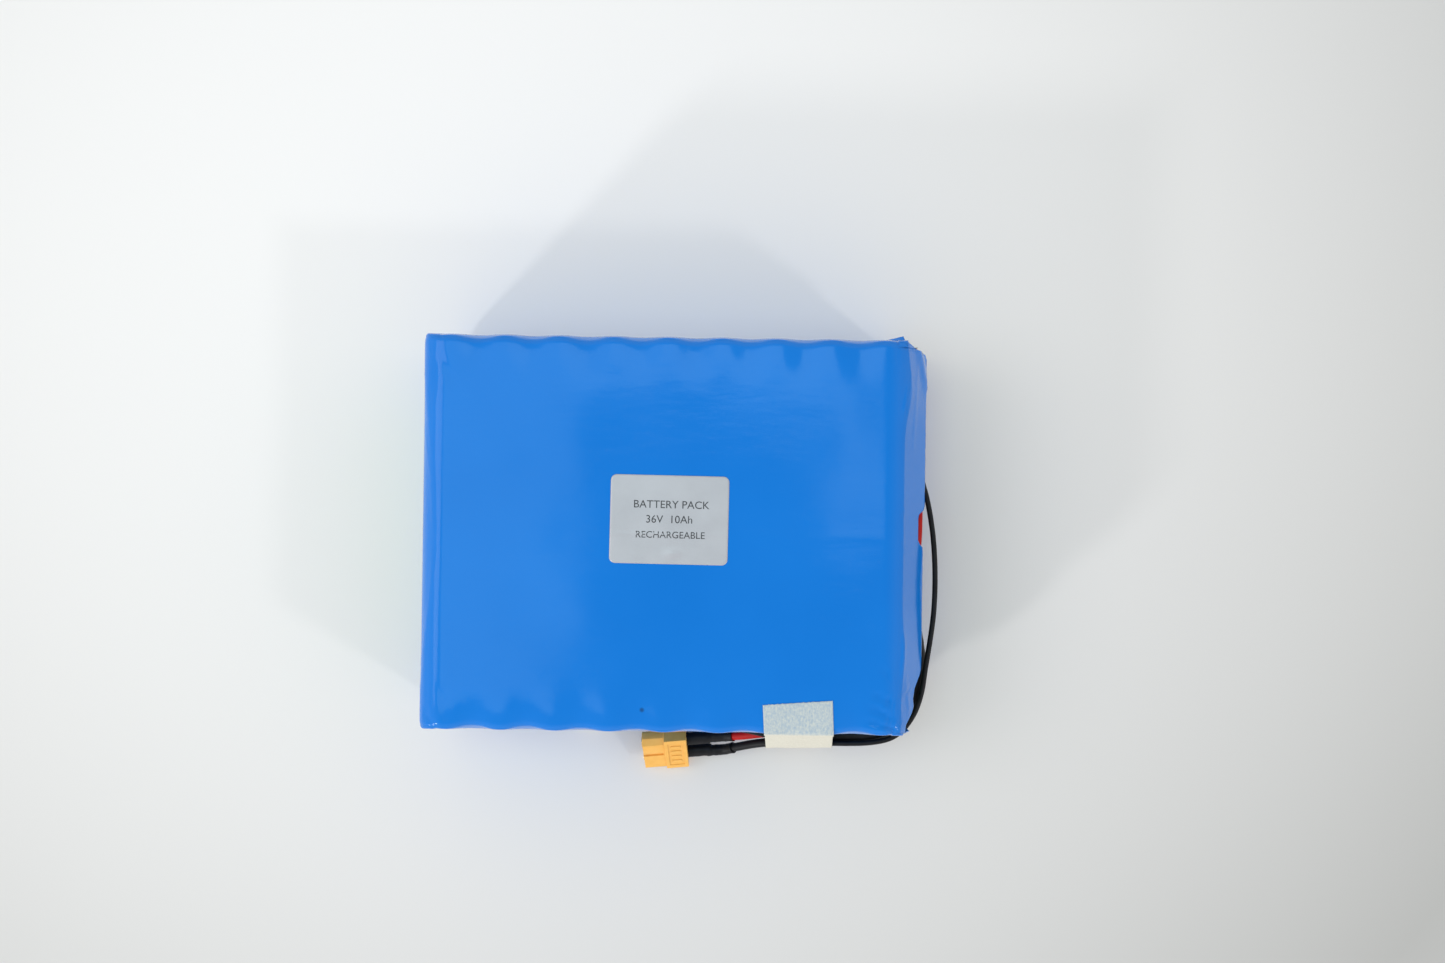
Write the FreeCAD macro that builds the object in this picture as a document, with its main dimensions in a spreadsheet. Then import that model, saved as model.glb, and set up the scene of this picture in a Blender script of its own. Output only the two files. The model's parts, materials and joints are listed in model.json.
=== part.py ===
import FreeCAD, Part

import math
import os

# A lithium battery pack: fifty cells in two rows of twenty-five, stacked three layers high and
# joined by nickel strip into ten groups of five in series, in a heat-shrink sleeve. Millimetres.
# X runs along the pack to the end where the leads come out, Z is up, and the origin is the middle
# of the sleeve's underside.

SIZES = {
    "cell_radius": 9.2,
    "cell_length": 65.0,
    "cell_pitch": 18.5,
    "can_length": 64.7,
    "button_radius": 2.9,
    "film_wall": 0.3,
    "board_wall": 0.5,
    "sheet_wall": 0.3,
    "nickel_wall": 0.2,
    "nickel_width": 8.0,
    "ring_wall": 0.15,
    "centre_wall": 0.4,
    "pack_length": 174.4,
    "pack_width": 134.6,
    "pack_height": 57.1,
    "board_length": 90.0,
    "board_height": 31.0,
    "circuit_wall": 1.6,
    "base_length": 8.2,
    "base_width": 15.8,
    "base_thickness": 8.1,
    "nose_length": 16.2,
    "nose_width": 14.6,
    "nose_thickness": 6.9,
    "contact_radius": 2.15,
    "contact_length": 23.5,
    "socket_radius": 1.75,
    "socket_depth": 9.0,
    "cup_length": 7.0,
    "cup_depth": 4.5,
    "contact_spacing": 7.2,
    "lead_radius": 1.6,
    "sense_radius": 0.95,
    "sleeve_radius": 3.65,
    "sleeve_wall": 0.3,
    "balance_radius": 0.45,
    "label_length": 40.0,
    "label_width": 30.0,
    "label_wall": 0.1,
    "tape_width": 24.0,
    "tape_wall": 0.25,
}

doc = FreeCAD.newDocument("battery_pack")
sheet = doc.addObject("Spreadsheet::Sheet", "sizes")
for row, (alias, value) in enumerate(SIZES.items(), start=1):
    sheet.set(f"A{row}", alias)
    sheet.set(f"B{row}", str(value))
    sheet.setAlias(f"B{row}", alias)
doc.recompute()

Vector = FreeCAD.Vector
parts = []


def size(alias):
    return float(sheet.get(alias))


def name_part(thing, label):
    """Marks an object of the document as a finished sub-part."""
    thing.Label = label
    parts.append(thing)
    return thing


def bind(thing, **expressions):
    for prop, text in expressions.items():
        thing.setExpression(prop, text)
    return thing


def place(x, y, z, rotation=None):
    return FreeCAD.Placement(Vector(x, y, z), rotation or FreeCAD.Rotation())


def block(name, low, high, **expressions):
    """A box from its low corner to its high one, with any side bound to the sheet."""
    box = doc.addObject("Part::Box", name)
    box.Length = high[0] - low[0]
    box.Width = high[1] - low[1]
    box.Height = high[2] - low[2]
    box.Placement = place(*low)
    return bind(box, **expressions)


def rod(name, radius, length, placement=None, **expressions):
    cylinder = doc.addObject("Part::Cylinder", name)
    cylinder.Radius = radius
    cylinder.Height = length
    cylinder.Placement = placement or place(0, 0, 0)
    return bind(cylinder, **expressions)


def fuse(name, shapes):
    joined = doc.addObject("Part::MultiFuse", name)
    joined.Shapes = shapes
    return joined


def cut(name, base, tool):
    result = doc.addObject("Part::Cut", name)
    result.Base = base
    result.Tool = tool
    return result


def group(name, members):
    compound = doc.addObject("Part::Compound", name)
    compound.Links = members
    return compound


def copy_of(original, name, placement):
    link = doc.addObject("App::Link", name)
    link.LinkedObject = original
    link.Placement = placement
    return link


def outline_sketch(body, name, role, points):
    """A closed outline of straight lines on one of the body's own origin planes."""
    sketch = body.newObject("Sketcher::SketchObject", name)
    plane = next(f for f in body.Origin.OriginFeatures if f.Role == role)
    sketch.AttachmentSupport = [(plane, "")]
    sketch.MapMode = "FlatFace"
    for start, end in zip(points, points[1:] + points[:1]):
        line = Part.LineSegment(Vector(start[0], start[1], 0), Vector(end[0], end[1], 0))
        sketch.addGeometry(line)
    return sketch


def pad(body, name, sketch, length, both_ways=False, **expressions):
    feature = body.newObject("PartDesign::Pad", name)
    feature.Profile = sketch
    feature.Length = length
    feature.Midplane = both_ways
    return bind(feature, **expressions)


def edges_where(shape, test):
    return [f"Edge{i}" for i, edge in enumerate(shape.Edges, start=1) if test(edge)]


def runs_along(edge, axis):
    """Whether a straight edge lies along the axis 0, 1 or 2."""
    if edge.Curve.TypeId != "Part::GeomLine":
        return False
    return abs(abs(edge.Curve.Direction[axis]) - 1) < 1e-6


# Where the cells lie: three layers, nine columns on top and eight below it.

film = size("film_wall")
pitch = size("cell_pitch")
half_length = size("pack_length") / 2
half_width = size("pack_width") / 2
top = size("pack_height")
row_gap = size("centre_wall") / 2 + size("nickel_wall")
first_column = -half_length + film + 0.4 + pitch / 2
first_layer = film + size("board_wall") + pitch / 2
cell_end = row_gap + size("cell_length")

GROUPS = [
    {"bottom": [8], "middle": [8], "top": [7, 8, 9]},
    {"bottom": [6, 7], "middle": [6, 7], "top": [6]},
    {"bottom": [5], "middle": [4, 5], "top": [4, 5]},
    {"bottom": [2, 3, 4], "middle": [3], "top": [3]},
    {"bottom": [1], "middle": [1, 2], "top": [1, 2]},
]
LAYERS = ["bottom", "middle", "top"]
series = GROUPS + GROUPS[::-1]


def column_x(column):
    return first_column + (column - 1) * pitch


def layer_z(layer):
    return first_layer + LAYERS.index(layer) * pitch


def side_of(index):
    """The side of the centre sheet that a group of the series lies on, -1 or 1."""
    return -1 if index < len(GROUPS) else 1


# Cells: steel cans with a rolled groove below the positive end.

cell_form = doc.addObject("PartDesign::Body", "cell_form")
radius, length, can = size("cell_radius"), size("cell_length"), size("can_length")
button = size("button_radius")
groove_low, groove_middle, groove_high, groove_depth = 3.6, 2.9, 2.2, 0.9
gasket_width, gasket_depth = 1.2, 0.5
cell_outline = [
    (0, 0),
    (radius, 0),
    (radius, can - groove_low),
    (radius - groove_depth, can - groove_middle),
    (radius, can - groove_high),
    (radius, can),
    (button + gasket_width, can),
    (button + gasket_width, can - gasket_depth),
    (button, can - gasket_depth),
    (button, length),
    (0, length),
]
cell_profile = outline_sketch(cell_form, "cell_profile", "XZ_Plane", cell_outline)
cell_turn = cell_form.newObject("PartDesign::Revolution", "cell_turn")
cell_turn.Profile = cell_profile
cell_turn.ReferenceAxis = (cell_profile, ["V_Axis"])
cell_turn.Angle = 360

ring_outer = rod("ring_outer", 1, 1, Height="sizes.ring_wall", Radius="sizes.cell_radius - 0.4")
ring_inner = rod("ring_inner", 1, 1, Radius="sizes.button_radius + 0.9")
ring_form = cut("ring_form", ring_outer, ring_inner)

to_plus_y = FreeCAD.Rotation(Vector(1, 0, 0), -90)
to_minus_y = FreeCAD.Rotation(Vector(1, 0, 0), 90)
rings = []
for index, layout in enumerate(series):
    side = side_of(index)
    positive_outside = index % 2 == 1
    points_outwards = to_plus_y if side > 0 else to_minus_y
    points_inwards = to_minus_y if side > 0 else to_plus_y
    turned = points_outwards if positive_outside else points_inwards
    foot_y = side * (row_gap if positive_outside else cell_end)
    members = []
    for layer, columns in layout.items():
        for column in columns:
            spot = place(column_x(column), foot_y, layer_z(layer), turned)
            tag = f"{index + 1:02d}_{layer}_{column}"
            members.append(copy_of(cell_form, f"cell_{tag}", spot))
            rise = turned.multVec(Vector(0, 0, can))
            on_can = place(spot.Base.x, spot.Base.y + rise.y, spot.Base.z, turned)
            rings.append(copy_of(ring_form, f"ring_{tag}", on_can))
    name_part(group(f"cells_{index + 1:02d}", members), f"cell_group_{index + 1:02d}")
name_part(group("rings", rings), "terminal_insulators")


# Nickel strip: level strips along each layer, and upright ones between layers.


def strips(name, layout, side, outside):
    """The welded strips of one face of one link."""
    half = size("nickel_width") / 2
    wall = size("nickel_wall")
    near = cell_end if outside else row_gap - wall
    low_y = near if side > 0 else -near - wall
    thin = {"Width": "sizes.nickel_wall"}
    made = []
    for layer, columns in layout.items():
        low = (column_x(min(columns)) - half, low_y, layer_z(layer) - half)
        high = (column_x(max(columns)) + half, low_y + wall, layer_z(layer) + half)
        made.append(block(f"{name}_{layer}", low, high, Height="sizes.nickel_width", **thin))
    for lower, upper in (("bottom", "middle"), ("middle", "top")):
        for column in set(layout[lower]) & set(layout[upper]):
            low = (column_x(column) - half, low_y, layer_z(lower))
            high = (column_x(column) + half, low_y + wall, layer_z(upper))
            upright = f"{name}_{lower}_{column}"
            made.append(block(upright, low, high, Length="sizes.nickel_width", **thin))
    return made


def together(first, second):
    return {layer: sorted(first[layer] + second[layer]) for layer in LAYERS}


middle_link = len(GROUPS)
for index in range(len(series) + 1):
    name = f"link_{index:02d}"
    outside = index % 2 == 0
    if index == 0:
        pieces = strips(name, series[0], -1, True)
    elif index == len(series):
        pieces = strips(name, series[-1], 1, True)
        tab_reach, tab_drop, tab_rise = 11.6, 5.0, 0.4
        tab_low = (column_x(9), cell_end, layer_z("top") - tab_drop)
        tab_high = (column_x(9) + tab_reach, cell_end + 0.2, layer_z("top") + tab_rise)
        pieces.append(block("positive_tab", tab_low, tab_high, Width="sizes.nickel_wall"))
    elif index == middle_link:
        pieces = strips(name + "_south", series[index - 1], -1, False)
        pieces += strips(name + "_north", series[index], 1, False)
        bridge_half, bridge_reach, fold_width = size("nickel_width") / 2, 8.6, 2.0
        bridge_low = (column_x(1) - bridge_reach, -row_gap, layer_z("middle") - bridge_half)
        bridge_high = (column_x(1), row_gap, layer_z("middle") + bridge_half)
        fold_high = (bridge_low[0] + fold_width, row_gap, bridge_high[2])
        south_reach = (bridge_high[0], -row_gap + size("nickel_wall"), bridge_high[2])
        north_reach = (bridge_low[0], row_gap - size("nickel_wall"), bridge_low[2])
        pieces.append(block("fold_south", bridge_low, south_reach, Width="sizes.nickel_wall"))
        pieces.append(block("fold_north", north_reach, bridge_high, Width="sizes.nickel_wall"))
        pieces.append(block("fold_bridge", bridge_low, fold_high))
    else:
        pieces = strips(name, together(series[index - 1], series[index]), side_of(index), outside)
    name_part(fuse(name, pieces), f"nickel_link_{index:02d}")


# Boards and sheets round the cells.

board_wall = size("board_wall")
sheet_wall = size("sheet_wall")
below_last = column_x(8) + pitch / 2
right_tangent = column_x(9) + pitch / 2
sheet_y = half_width - film - 0.1
board_left = -78.0

# The top one stops short of the cells' ends, where the film draws in between the cells.
top_low = (board_left, -50.0, top - film - board_wall)
top_high = (70.0, 50.0, top - film)
name_part(block("top_sheet", top_low, top_high, Height="sizes.board_wall"), "top_board")
bottom_low = (board_left, -65.0, film)
bottom_high = (80.0, 65.0, film + board_wall)
name_part(block("bottom_sheet", bottom_low, bottom_high, Height="sizes.board_wall"), "bottom_board")
left_low = (-half_length + film, -65.0, 11.0)
left_high = (-half_length + film + 0.35, 65.0, 46.0)
name_part(block("left_sheet", left_low, left_high), "left_board")
centre_low = (column_x(1) - 5.0, -size("centre_wall") / 2, 2.0)
centre_high = (below_last, size("centre_wall") / 2, top - 2.0)
name_part(block("centre_sheet", centre_low, centre_high, Width="sizes.centre_wall"), "centre_insulation")

sheet_left, low_edge, step_edge, high_edge = -82.0, 3.0, layer_z("top") - pitch / 2, 51.5
for side, label in ((-1, "south_insulation"), (1, "north_insulation")):
    sheet_body = doc.addObject("PartDesign::Body", label + "_body")
    outline = [
        (sheet_left, low_edge),
        (below_last, low_edge),
        (below_last, step_edge),
        (right_tangent - 1.0, step_edge),
        (right_tangent - 1.0, high_edge),
        (sheet_left, high_edge),
    ]
    sheet_outline = outline_sketch(sheet_body, label + "_outline", "XZ_Plane", outline)
    pad(sheet_body, label + "_pad", sheet_outline, sheet_wall, Length="sizes.sheet_wall")
    sheet_body.Placement = place(0, -sheet_y + sheet_wall if side < 0 else sheet_y, 0)
    name_part(sheet_body, label)


# The protection board stands on edge in the space below the ninth column.

name_part(block("divider", (below_last, -60.0, 1.5), (below_last + 0.4, 60.0, 37.0)), "bms_divider")
name_part(block("back_foam", (61.9, -35.0, 3.0), (66.9, 50.0, 36.0)), "bms_back_pad")
name_part(block("front_foam", (76.8, -10.0, 12.0), (82.4, 52.0, 35.0)), "bms_front_pad")

circuit_x = 67.0
circuit = block(
    "circuit",
    (circuit_x, -38.0, 4.0),
    (circuit_x + 1.6, 52.0, 35.0),
    Length="sizes.circuit_wall",
    Width="sizes.board_length",
    Height="sizes.board_height",
)
name_part(circuit, "bms_board")
face_x = circuit_x + size("circuit_wall")



def row_of_blocks(name, count, step, low, high):
    """Equal boxes side by side along Y on the board's face, from the first one's corners."""
    made = []
    for number in range(count):
        shift = step * number
        near = (low[0], low[1] + shift, low[2])
        far = (high[0], high[1] + shift, high[2])
        made.append(block(f"{name}_{number}", near, far))
    return made


switch_height = 2.3
switch_high = (face_x + switch_height, -21.5, 31.5)
switches = row_of_blocks("switch", 9, 8.2, (face_x, -28.0, 25.0), switch_high)
name_part(group("switches", switches), "bms_switches")

sink_x = face_x + switch_height
sink = [block("sink_plate", (sink_x, -30.0, 23.0), (sink_x + 2.0, 46.0, 34.0))]
fin_pitch, fin_wall, first_fin, fin_top = 2.3, 0.9, 23.4, sink_x + 4.5
for number in range(5):
    low_z = first_fin + fin_pitch * number
    fin_low, fin_high = (sink_x + 1.0, -30.0, low_z), (fin_top, 46.0, low_z + fin_wall)
    sink.append(block(f"sink_fin_{number}", fin_low, fin_high))
name_part(fuse("sink", sink), "bms_heatsink")

shunts = row_of_blocks("shunt", 4, 5.0, (face_x, -24.0, 14.0), (face_x + 0.9, -20.8, 20.4))
name_part(group("shunts", shunts), "bms_shunts")

chips = [block("controller", (face_x, 24.0, 14.0), (face_x + 1.5, 32.0, 20.0))]
chips += row_of_blocks("bleed", 10, 2.0, (face_x, 2.0, 12.4), (face_x + 0.6, 3.3, 15.0))
name_part(group("chips", chips), "bms_chips")

header_low = (face_x, -12.0, 2.6)
header_high = (face_x + 7.0, 18.0, 10.6)
header_floor, header_wall = 6.4, 0.8
hollow_low = (face_x + header_floor, header_low[1] + header_wall, header_low[2] + header_wall)
hollow_high = (header_high[0] + 1.0, header_high[1] - header_wall, header_high[2] - header_wall)
header_shell = block("header_shell", header_low, header_high)
header_hollow = block("header_hollow", hollow_low, hollow_high)
name_part(cut("header", header_shell, header_hollow), "balance_header")


# Tubes along a route of straight runs joined by tangent arcs.


def corner_radii(points):
    """Each corner's radius: 0.45 of its shorter run, over the tangent of half its turn."""
    radii = []
    for before, corner, after in zip(points, points[1:], points[2:]):
        turn = (corner - before).getAngle(after - corner)
        shorter = min((corner - before).Length, (after - corner).Length)
        radii.append(0.45 * shorter / math.tan(turn / 2))
    return radii


def rounded_path(points, radii):
    edges = []
    at = points[0]
    for before, corner, after, bend in zip(points, points[1:], points[2:], radii):
        inward = (corner - before).normalize()
        outward = (after - corner).normalize()
        turn = inward.getAngle(outward)
        reach = bend * math.tan(turn / 2)
        arc_start = corner - inward * reach
        arc_end = corner + outward * reach
        towards_centre = (outward - inward).normalize()
        middle = corner + towards_centre * (bend / math.cos(turn / 2) - bend)
        edges.append(Part.LineSegment(at, arc_start).toShape())
        edges.append(Part.Arc(arc_start, middle, arc_end).toShape())
        at = arc_end
    edges.append(Part.LineSegment(at, points[-1]).toShape())
    return Part.Wire(edges)


def tube(points, radius, radii=None):
    """A round solid along the points."""
    points = [Vector(*point) for point in points]
    path = rounded_path(points, radii if radii is not None else corner_radii(points))
    ring = Part.makeCircle(radius, points[0], points[1] - points[0])
    return path.makePipeShell([Part.Wire([ring])], True, True)


def feature(name, shape, label):
    made = doc.addObject("Part::Feature", name)
    made.Shape = shape
    return name_part(made, label)


def route_length(points):
    points = [Vector(*point) for point in points]
    return rounded_path(points, corner_radii(points)).Length


# The route of the sleeve round both leads, from the exit round the corner to below the tape.
SLEEVE_ROUTE = [
    (83.9, -32.8, 28.0),
    (85.9, -42.3, 28.2),
    (86.0, -51.3, 27.9),
    (84.1, -59.8, 27.3),
    (79.6, -66.9, 26.6),
    (72.1, -71.0, 25.6),
    (61.1, -72.3, 24.3),
    (48.1, -72.8, 22.8),
]
# The two leads lie side by side in the sleeve, then run down to the connector's cups.
POSITIVE_ROUTE = [
    (82.2, -32.4, 28.0),
    (84.2, -42.1, 28.2),
    (84.3, -51.1, 27.9),
    (82.5, -59.2, 27.3),
    (78.4, -65.6, 26.6),
    (71.6, -69.4, 25.6),
    (61.0, -70.6, 24.3),
    (48.1, -71.1, 22.8),
    (39.1, -71.7, 21.2),
    (30.6, -73.2, 18.4),
    (23.0, -74.9, 14.2),
]
NEGATIVE_ROUTE = [
    (85.6, -33.1, 28.0),
    (87.6, -42.4, 28.2),
    (87.7, -51.5, 27.9),
    (85.7, -60.4, 27.3),
    (80.8, -68.2, 26.6),
    (72.6, -72.6, 25.6),
    (61.2, -74.0, 24.3),
    (48.1, -74.5, 22.8),
    (39.1, -75.7, 20.2),
    (30.6, -77.4, 15.9),
    (22.4, -79.7, 10.2),
]
SENSE_ROUTE = [
    (83.9, 29.5, 30.2),
    (86.3, 21.0, 30.9),
    (88.9, 12.0, 31.8),
    (90.8, 0.0, 32.7),
    (91.6, -13.0, 33.2),
    (91.4, -26.0, 33.2),
    (90.1, -37.0, 33.1),
    (88.5, -47.0, 33.0),
    (87.6, -56.0, 32.2),
    (84.6, -64.9, 31.3),
    (78.8, -71.9, 30.3),
    (70.4, -75.2, 29.4),
    (59.0, -76.3, 28.4),
    (47.5, -76.0, 27.3),
    (37.5, -74.2, 26.2),
    (28.0, -71.6, 24.9),
    (18.0, -69.9, 22.4),
    (8.0, -69.1, 18.2),
    (-2.0, -69.0, 12.6),
    (-11.5, -69.3, 7.2),
    (-20.0, -69.9, 3.8),
    (-27.7, -70.4, 2.5),
]

# The connector rests on its lower long edge, rolled back towards the pack, and is turned a little.
rear_centre = Vector(4.0, -79.6, 8.3)
yaw = math.radians(5.5)
roll = math.radians(42.0)
rearward = Vector(math.cos(yaw), math.sin(yaw), 0)
across = Vector(-math.sin(yaw), math.cos(yaw), 0)
width_axis = across * math.cos(roll) + Vector(0, 0, math.sin(roll))
face_axis = across * -math.sin(roll) + Vector(0, 0, math.cos(roll))
connector_turn = FreeCAD.Rotation(rearward * -1, width_axis * -1, face_axis, "ZXY")
contact_offset = size("contact_spacing") / 2


def cup_point(side, distance):
    """A point on a contact's axis, that far behind the connector's rear face."""
    point = rear_centre + width_axis * (side * contact_offset) + rearward * distance
    return (point.x, point.y, point.z)


lead_end = size("cup_length") - size("cup_depth") + 0.1
POSITIVE_ROUTE += [cup_point(1, 13.0), cup_point(1, lead_end)]
NEGATIVE_ROUTE += [cup_point(-1, 12.0), cup_point(-1, lead_end)]

lead_radius = size("lead_radius")
sleeve_hole = size("sleeve_radius") - size("sleeve_wall")
feature("lead_red", tube(POSITIVE_ROUTE, lead_radius), "positive_lead")
feature("lead_black", tube(NEGATIVE_ROUTE, lead_radius), "negative_lead")
feature("lead_thin", tube(SENSE_ROUTE, size("sense_radius")), "sense_lead")
sleeve_shape = tube(SLEEVE_ROUTE, size("sleeve_radius")).cut(tube(SLEEVE_ROUTE, sleeve_hole))
feature("sleeve", sleeve_shape, "lead_sleeve")


BOOT_WALL = 0.45
OVER_CUP = 7.6
NECK = 2.0
LAST_REACH = 0.62


def boot_shape(side, route):
    """Heat-shrink that is wide over the solder cup and narrow over the lead."""
    radii = corner_radii([Vector(*point) for point in route])
    path = [cup_point(side, 0.05), route[-2]]
    reach = Vector(*route[-3]) - Vector(*route[-2])
    over_lead = Vector(*route[-2]) + reach * LAST_REACH
    path.append((over_lead.x, over_lead.y, over_lead.z))
    start = Vector(*path[0])
    neck_start = start + rearward * OVER_CUP
    wide = size("contact_radius") + BOOT_WALL
    outer = tube(path, lead_radius + BOOT_WALL, [radii[-1]])
    outer = outer.fuse(Part.makeCylinder(wide, OVER_CUP, start, rearward))
    outer = outer.fuse(Part.makeCone(wide, lead_radius + 0.2, NECK, neck_start, rearward))
    inner = tube(path, lead_radius + 0.05, [radii[-1]])
    inner_wide = size("contact_radius") + 0.03
    inner = inner.fuse(Part.makeCylinder(inner_wide, OVER_CUP - BOOT_WALL, start, rearward))
    return outer.cut(inner)


feature("boot_red", boot_shape(1, POSITIVE_ROUTE), "positive_boot")
feature("boot_black", boot_shape(-1, NEGATIVE_ROUTE), "negative_boot")

# The leads inside the sleeve of film, from where they are soldered to the exit.
INNER_POSITIVE_ROUTE = [
    (81.3, 64.4, 44.0),
    (82.2, 58.0, 39.5),
    (84.0, 48.0, 36.0),
    (85.0, 34.0, 34.2),
    (85.2, 16.0, 33.3),
    (85.1, -3.0, 33.0),
    (83.5, -15.0, 30.8),
    (80.9, -25.6, 27.9),
    (82.2, -32.4, 28.0),
]
INNER_NEGATIVE_ROUTE = [
    (70.5, -33.0, 14.0),
    (76.6, -30.5, 14.4),
    (82.2, -25.2, 17.2),
    (85.0, -22.4, 23.2),
    (84.7, -28.3, 27.9),
    (85.6, -33.1, 28.0),
]
feature("inner_red", tube(INNER_POSITIVE_ROUTE, lead_radius), "positive_lead_inner")
feature("inner_black", tube(INNER_NEGATIVE_ROUTE, lead_radius), "negative_lead_inner")

# Balance wires: one from each link, along the cell ends to the header. Those of the inner links
# come out through the channels between the cells.
WIRE_STEP = 1.0
FIRST_LEVEL = 3.6
LEVEL_STEP = 1.1
FIRST_PIN = -9.5
PIN_STEP = 2.5
TIGHT_BEND = 1.0
wire_y = cell_end + size("nickel_wall") + 0.5
wires = []
for index in range(len(series) + 1):
    side = -1 if index <= middle_link else 1
    lane = index if side < 0 else len(series) - index
    level = layer_z("bottom") + pitch / 2 - 2.5 + WIRE_STEP * lane
    low_level = FIRST_LEVEL + LEVEL_STEP * lane
    place_in_row = min(index, len(series) - index)
    column = 8 - (place_in_row * 3) // 2
    start_x = column_x(column) + (0 if index % 2 == 0 else pitch / 2)
    pin_y = FIRST_PIN + PIN_STEP * index
    route = [
        (start_x, side * wire_y, level),
        (67.0, side * wire_y, level),
        (77.0, side * 57.0, low_level),
        (79.5, side * 36.0, low_level),
        (header_high[0] + 0.3, pin_y, low_level),
    ]
    if index % 2 == 1:
        route.insert(0, (start_x, side * (row_gap + 0.1), level))
    bends = corner_radii([Vector(*point) for point in route])
    wires.append(tube(route, size("balance_radius"), [min(bend, TIGHT_BEND) for bend in bends]))
feature("balance_wires", Part.makeCompound(wires), "balance_leads")

PROBE_ROUTE = [
    (61.5, -22.0, 39.6),
    (61.7, -40.0, 39.4),
    (65.0, -44.0, 35.0),
    (67.7, -38.8, 30.0),
]
PROBE_WIRE_RADIUS = 0.5
BEAD_RADIUS = 1.3
probe_bead = Part.makeSphere(BEAD_RADIUS, Vector(61.5, -21.6, 39.6))
probe_shape = probe_bead.fuse(tube(PROBE_ROUTE, PROBE_WIRE_RADIUS))
feature("probe", probe_shape, "temperature_probe")


# The connector.


def rectangle(width, height):
    x, y = width / 2, height / 2
    return [(-x, -y), (x, -y), (x, y), (-x, y)]


housing = doc.addObject("PartDesign::Body", "housing")
base_outline = rectangle(size("base_width"), size("base_thickness"))
base_sketch = outline_sketch(housing, "base_outline", "YZ_Plane", base_outline)
pad(housing, "base_pad", base_sketch, 0, Length="sizes.base_length")
nose_half, nose_rise, corner = size("nose_width") / 2, size("nose_thickness") / 2, 1.9
nose_outline = [
    (-nose_half + corner, -nose_rise),
    (nose_half, -nose_rise),
    (nose_half, nose_rise),
    (-nose_half + corner, nose_rise),
    (-nose_half, nose_rise - corner),
    (-nose_half, -nose_rise + corner),
]
nose_sketch = outline_sketch(housing, "nose_outline", "YZ_Plane", nose_outline)
pad(housing, "nose_pad", nose_sketch, 0, Length="sizes.nose_length")

bores = housing.newObject("Sketcher::SketchObject", "bores")
yz_plane = next(f for f in housing.Origin.OriginFeatures if f.Role == "YZ_Plane")
bores.AttachmentSupport = [(yz_plane, "")]
bores.MapMode = "FlatFace"
for side in (-1, 1):
    circle = Part.Circle(Vector(side * contact_offset, 0, 0), Vector(0, 0, 1), size("contact_radius") + 0.02)
    bores.addGeometry(circle)
bore_pocket = housing.newObject("PartDesign::Pocket", "bore_pocket")
bore_pocket.Profile = bores
bore_pocket.Type = "ThroughAll"
bore_pocket.Midplane = True

groove_depth, groove_half = 0.8, 0.6
groove_start, groove_end = size("base_length") + 0.6, size("nose_length") + 1.0
for side, name in ((1, "upper"), (-1, "lower")):
    outline = [
        (groove_start, side * (nose_rise - groove_depth)),
        (groove_end, side * (nose_rise - groove_depth)),
        (groove_end, side * (nose_rise + 1.0)),
        (groove_start, side * (nose_rise + 1.0)),
    ]
    groove_sketch = outline_sketch(housing, f"{name}_groove", "XZ_Plane", outline)
    groove = housing.newObject("PartDesign::Pocket", f"{name}_groove_pocket")
    groove.Profile = groove_sketch
    groove.Length = 2 * groove_half
    groove.Midplane = True
window_face = size("base_thickness") / 2
window_floor = window_face - 0.35
window_start, window_end = 1.3, 6.9
window_outline = [
    (window_start, window_floor),
    (window_end, window_floor),
    (window_end, window_face + 1.0),
    (window_start, window_face + 1.0),
]
window_sketch = outline_sketch(housing, "window", "XZ_Plane", window_outline)
window = housing.newObject("PartDesign::Pocket", "window_pocket")
window.Profile = window_sketch
window.Length = 12.4
window.Midplane = True
housing.Placement = FreeCAD.Placement(rear_centre, connector_turn)
name_part(housing, "connector_housing")

along_x = FreeCAD.Rotation(Vector(0, 1, 0), 90)
for side, label in ((1, "positive_contact"), (-1, "negative_contact")):
    offset_y = -side * contact_offset
    cup = -size("cup_length")
    nose_end = cup + size("contact_length")
    at_cup = place(cup, offset_y, 0, along_x)
    at_socket = place(nose_end - size("socket_depth"), offset_y, 0, along_x)
    before_cup = place(cup - 1.0, offset_y, 0, along_x)
    narrow = {"Radius": "sizes.socket_radius"}
    wide = {"Radius": "sizes.contact_radius"}
    pin_outer = rod(label + "_pin", 1, 1, at_cup, Height="sizes.contact_length", **wide)
    socket = rod(label + "_socket", 1, 1, at_socket, Height="sizes.socket_depth + 1", **narrow)
    cup_hole = rod(label + "_cup", 1, 1, before_cup, Height="sizes.cup_depth + 1", **narrow)
    contact = cut(label + "_turned", pin_outer, fuse(label + "_holes", [socket, cup_hole]))
    contact.Placement = FreeCAD.Placement(rear_centre, connector_turn)
    name_part(contact, label)

plug_x, plug_y, plug_length, plug_half, plug_height, plug_wall = -28.0, -70.4, 8.4, 2.8, 4.8, 0.7
shell_low = (plug_x - plug_length, plug_y - plug_half, 0.0)
shell_high = (plug_x, plug_y + plug_half, plug_height)
mouth_low = (shell_low[0] - 1.0, shell_low[1] + plug_wall, plug_wall)
mouth_high = (plug_x - 3.0, shell_high[1] - plug_wall, plug_height - plug_wall)
plug_shell = block("plug_shell", shell_low, shell_high)
plug_mouth = block("plug_mouth", mouth_low, mouth_high)
name_part(cut("plug", plug_shell, plug_mouth), "sense_plug")


# The film: a shell open at both ends, where it curls over the end faces.


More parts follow.
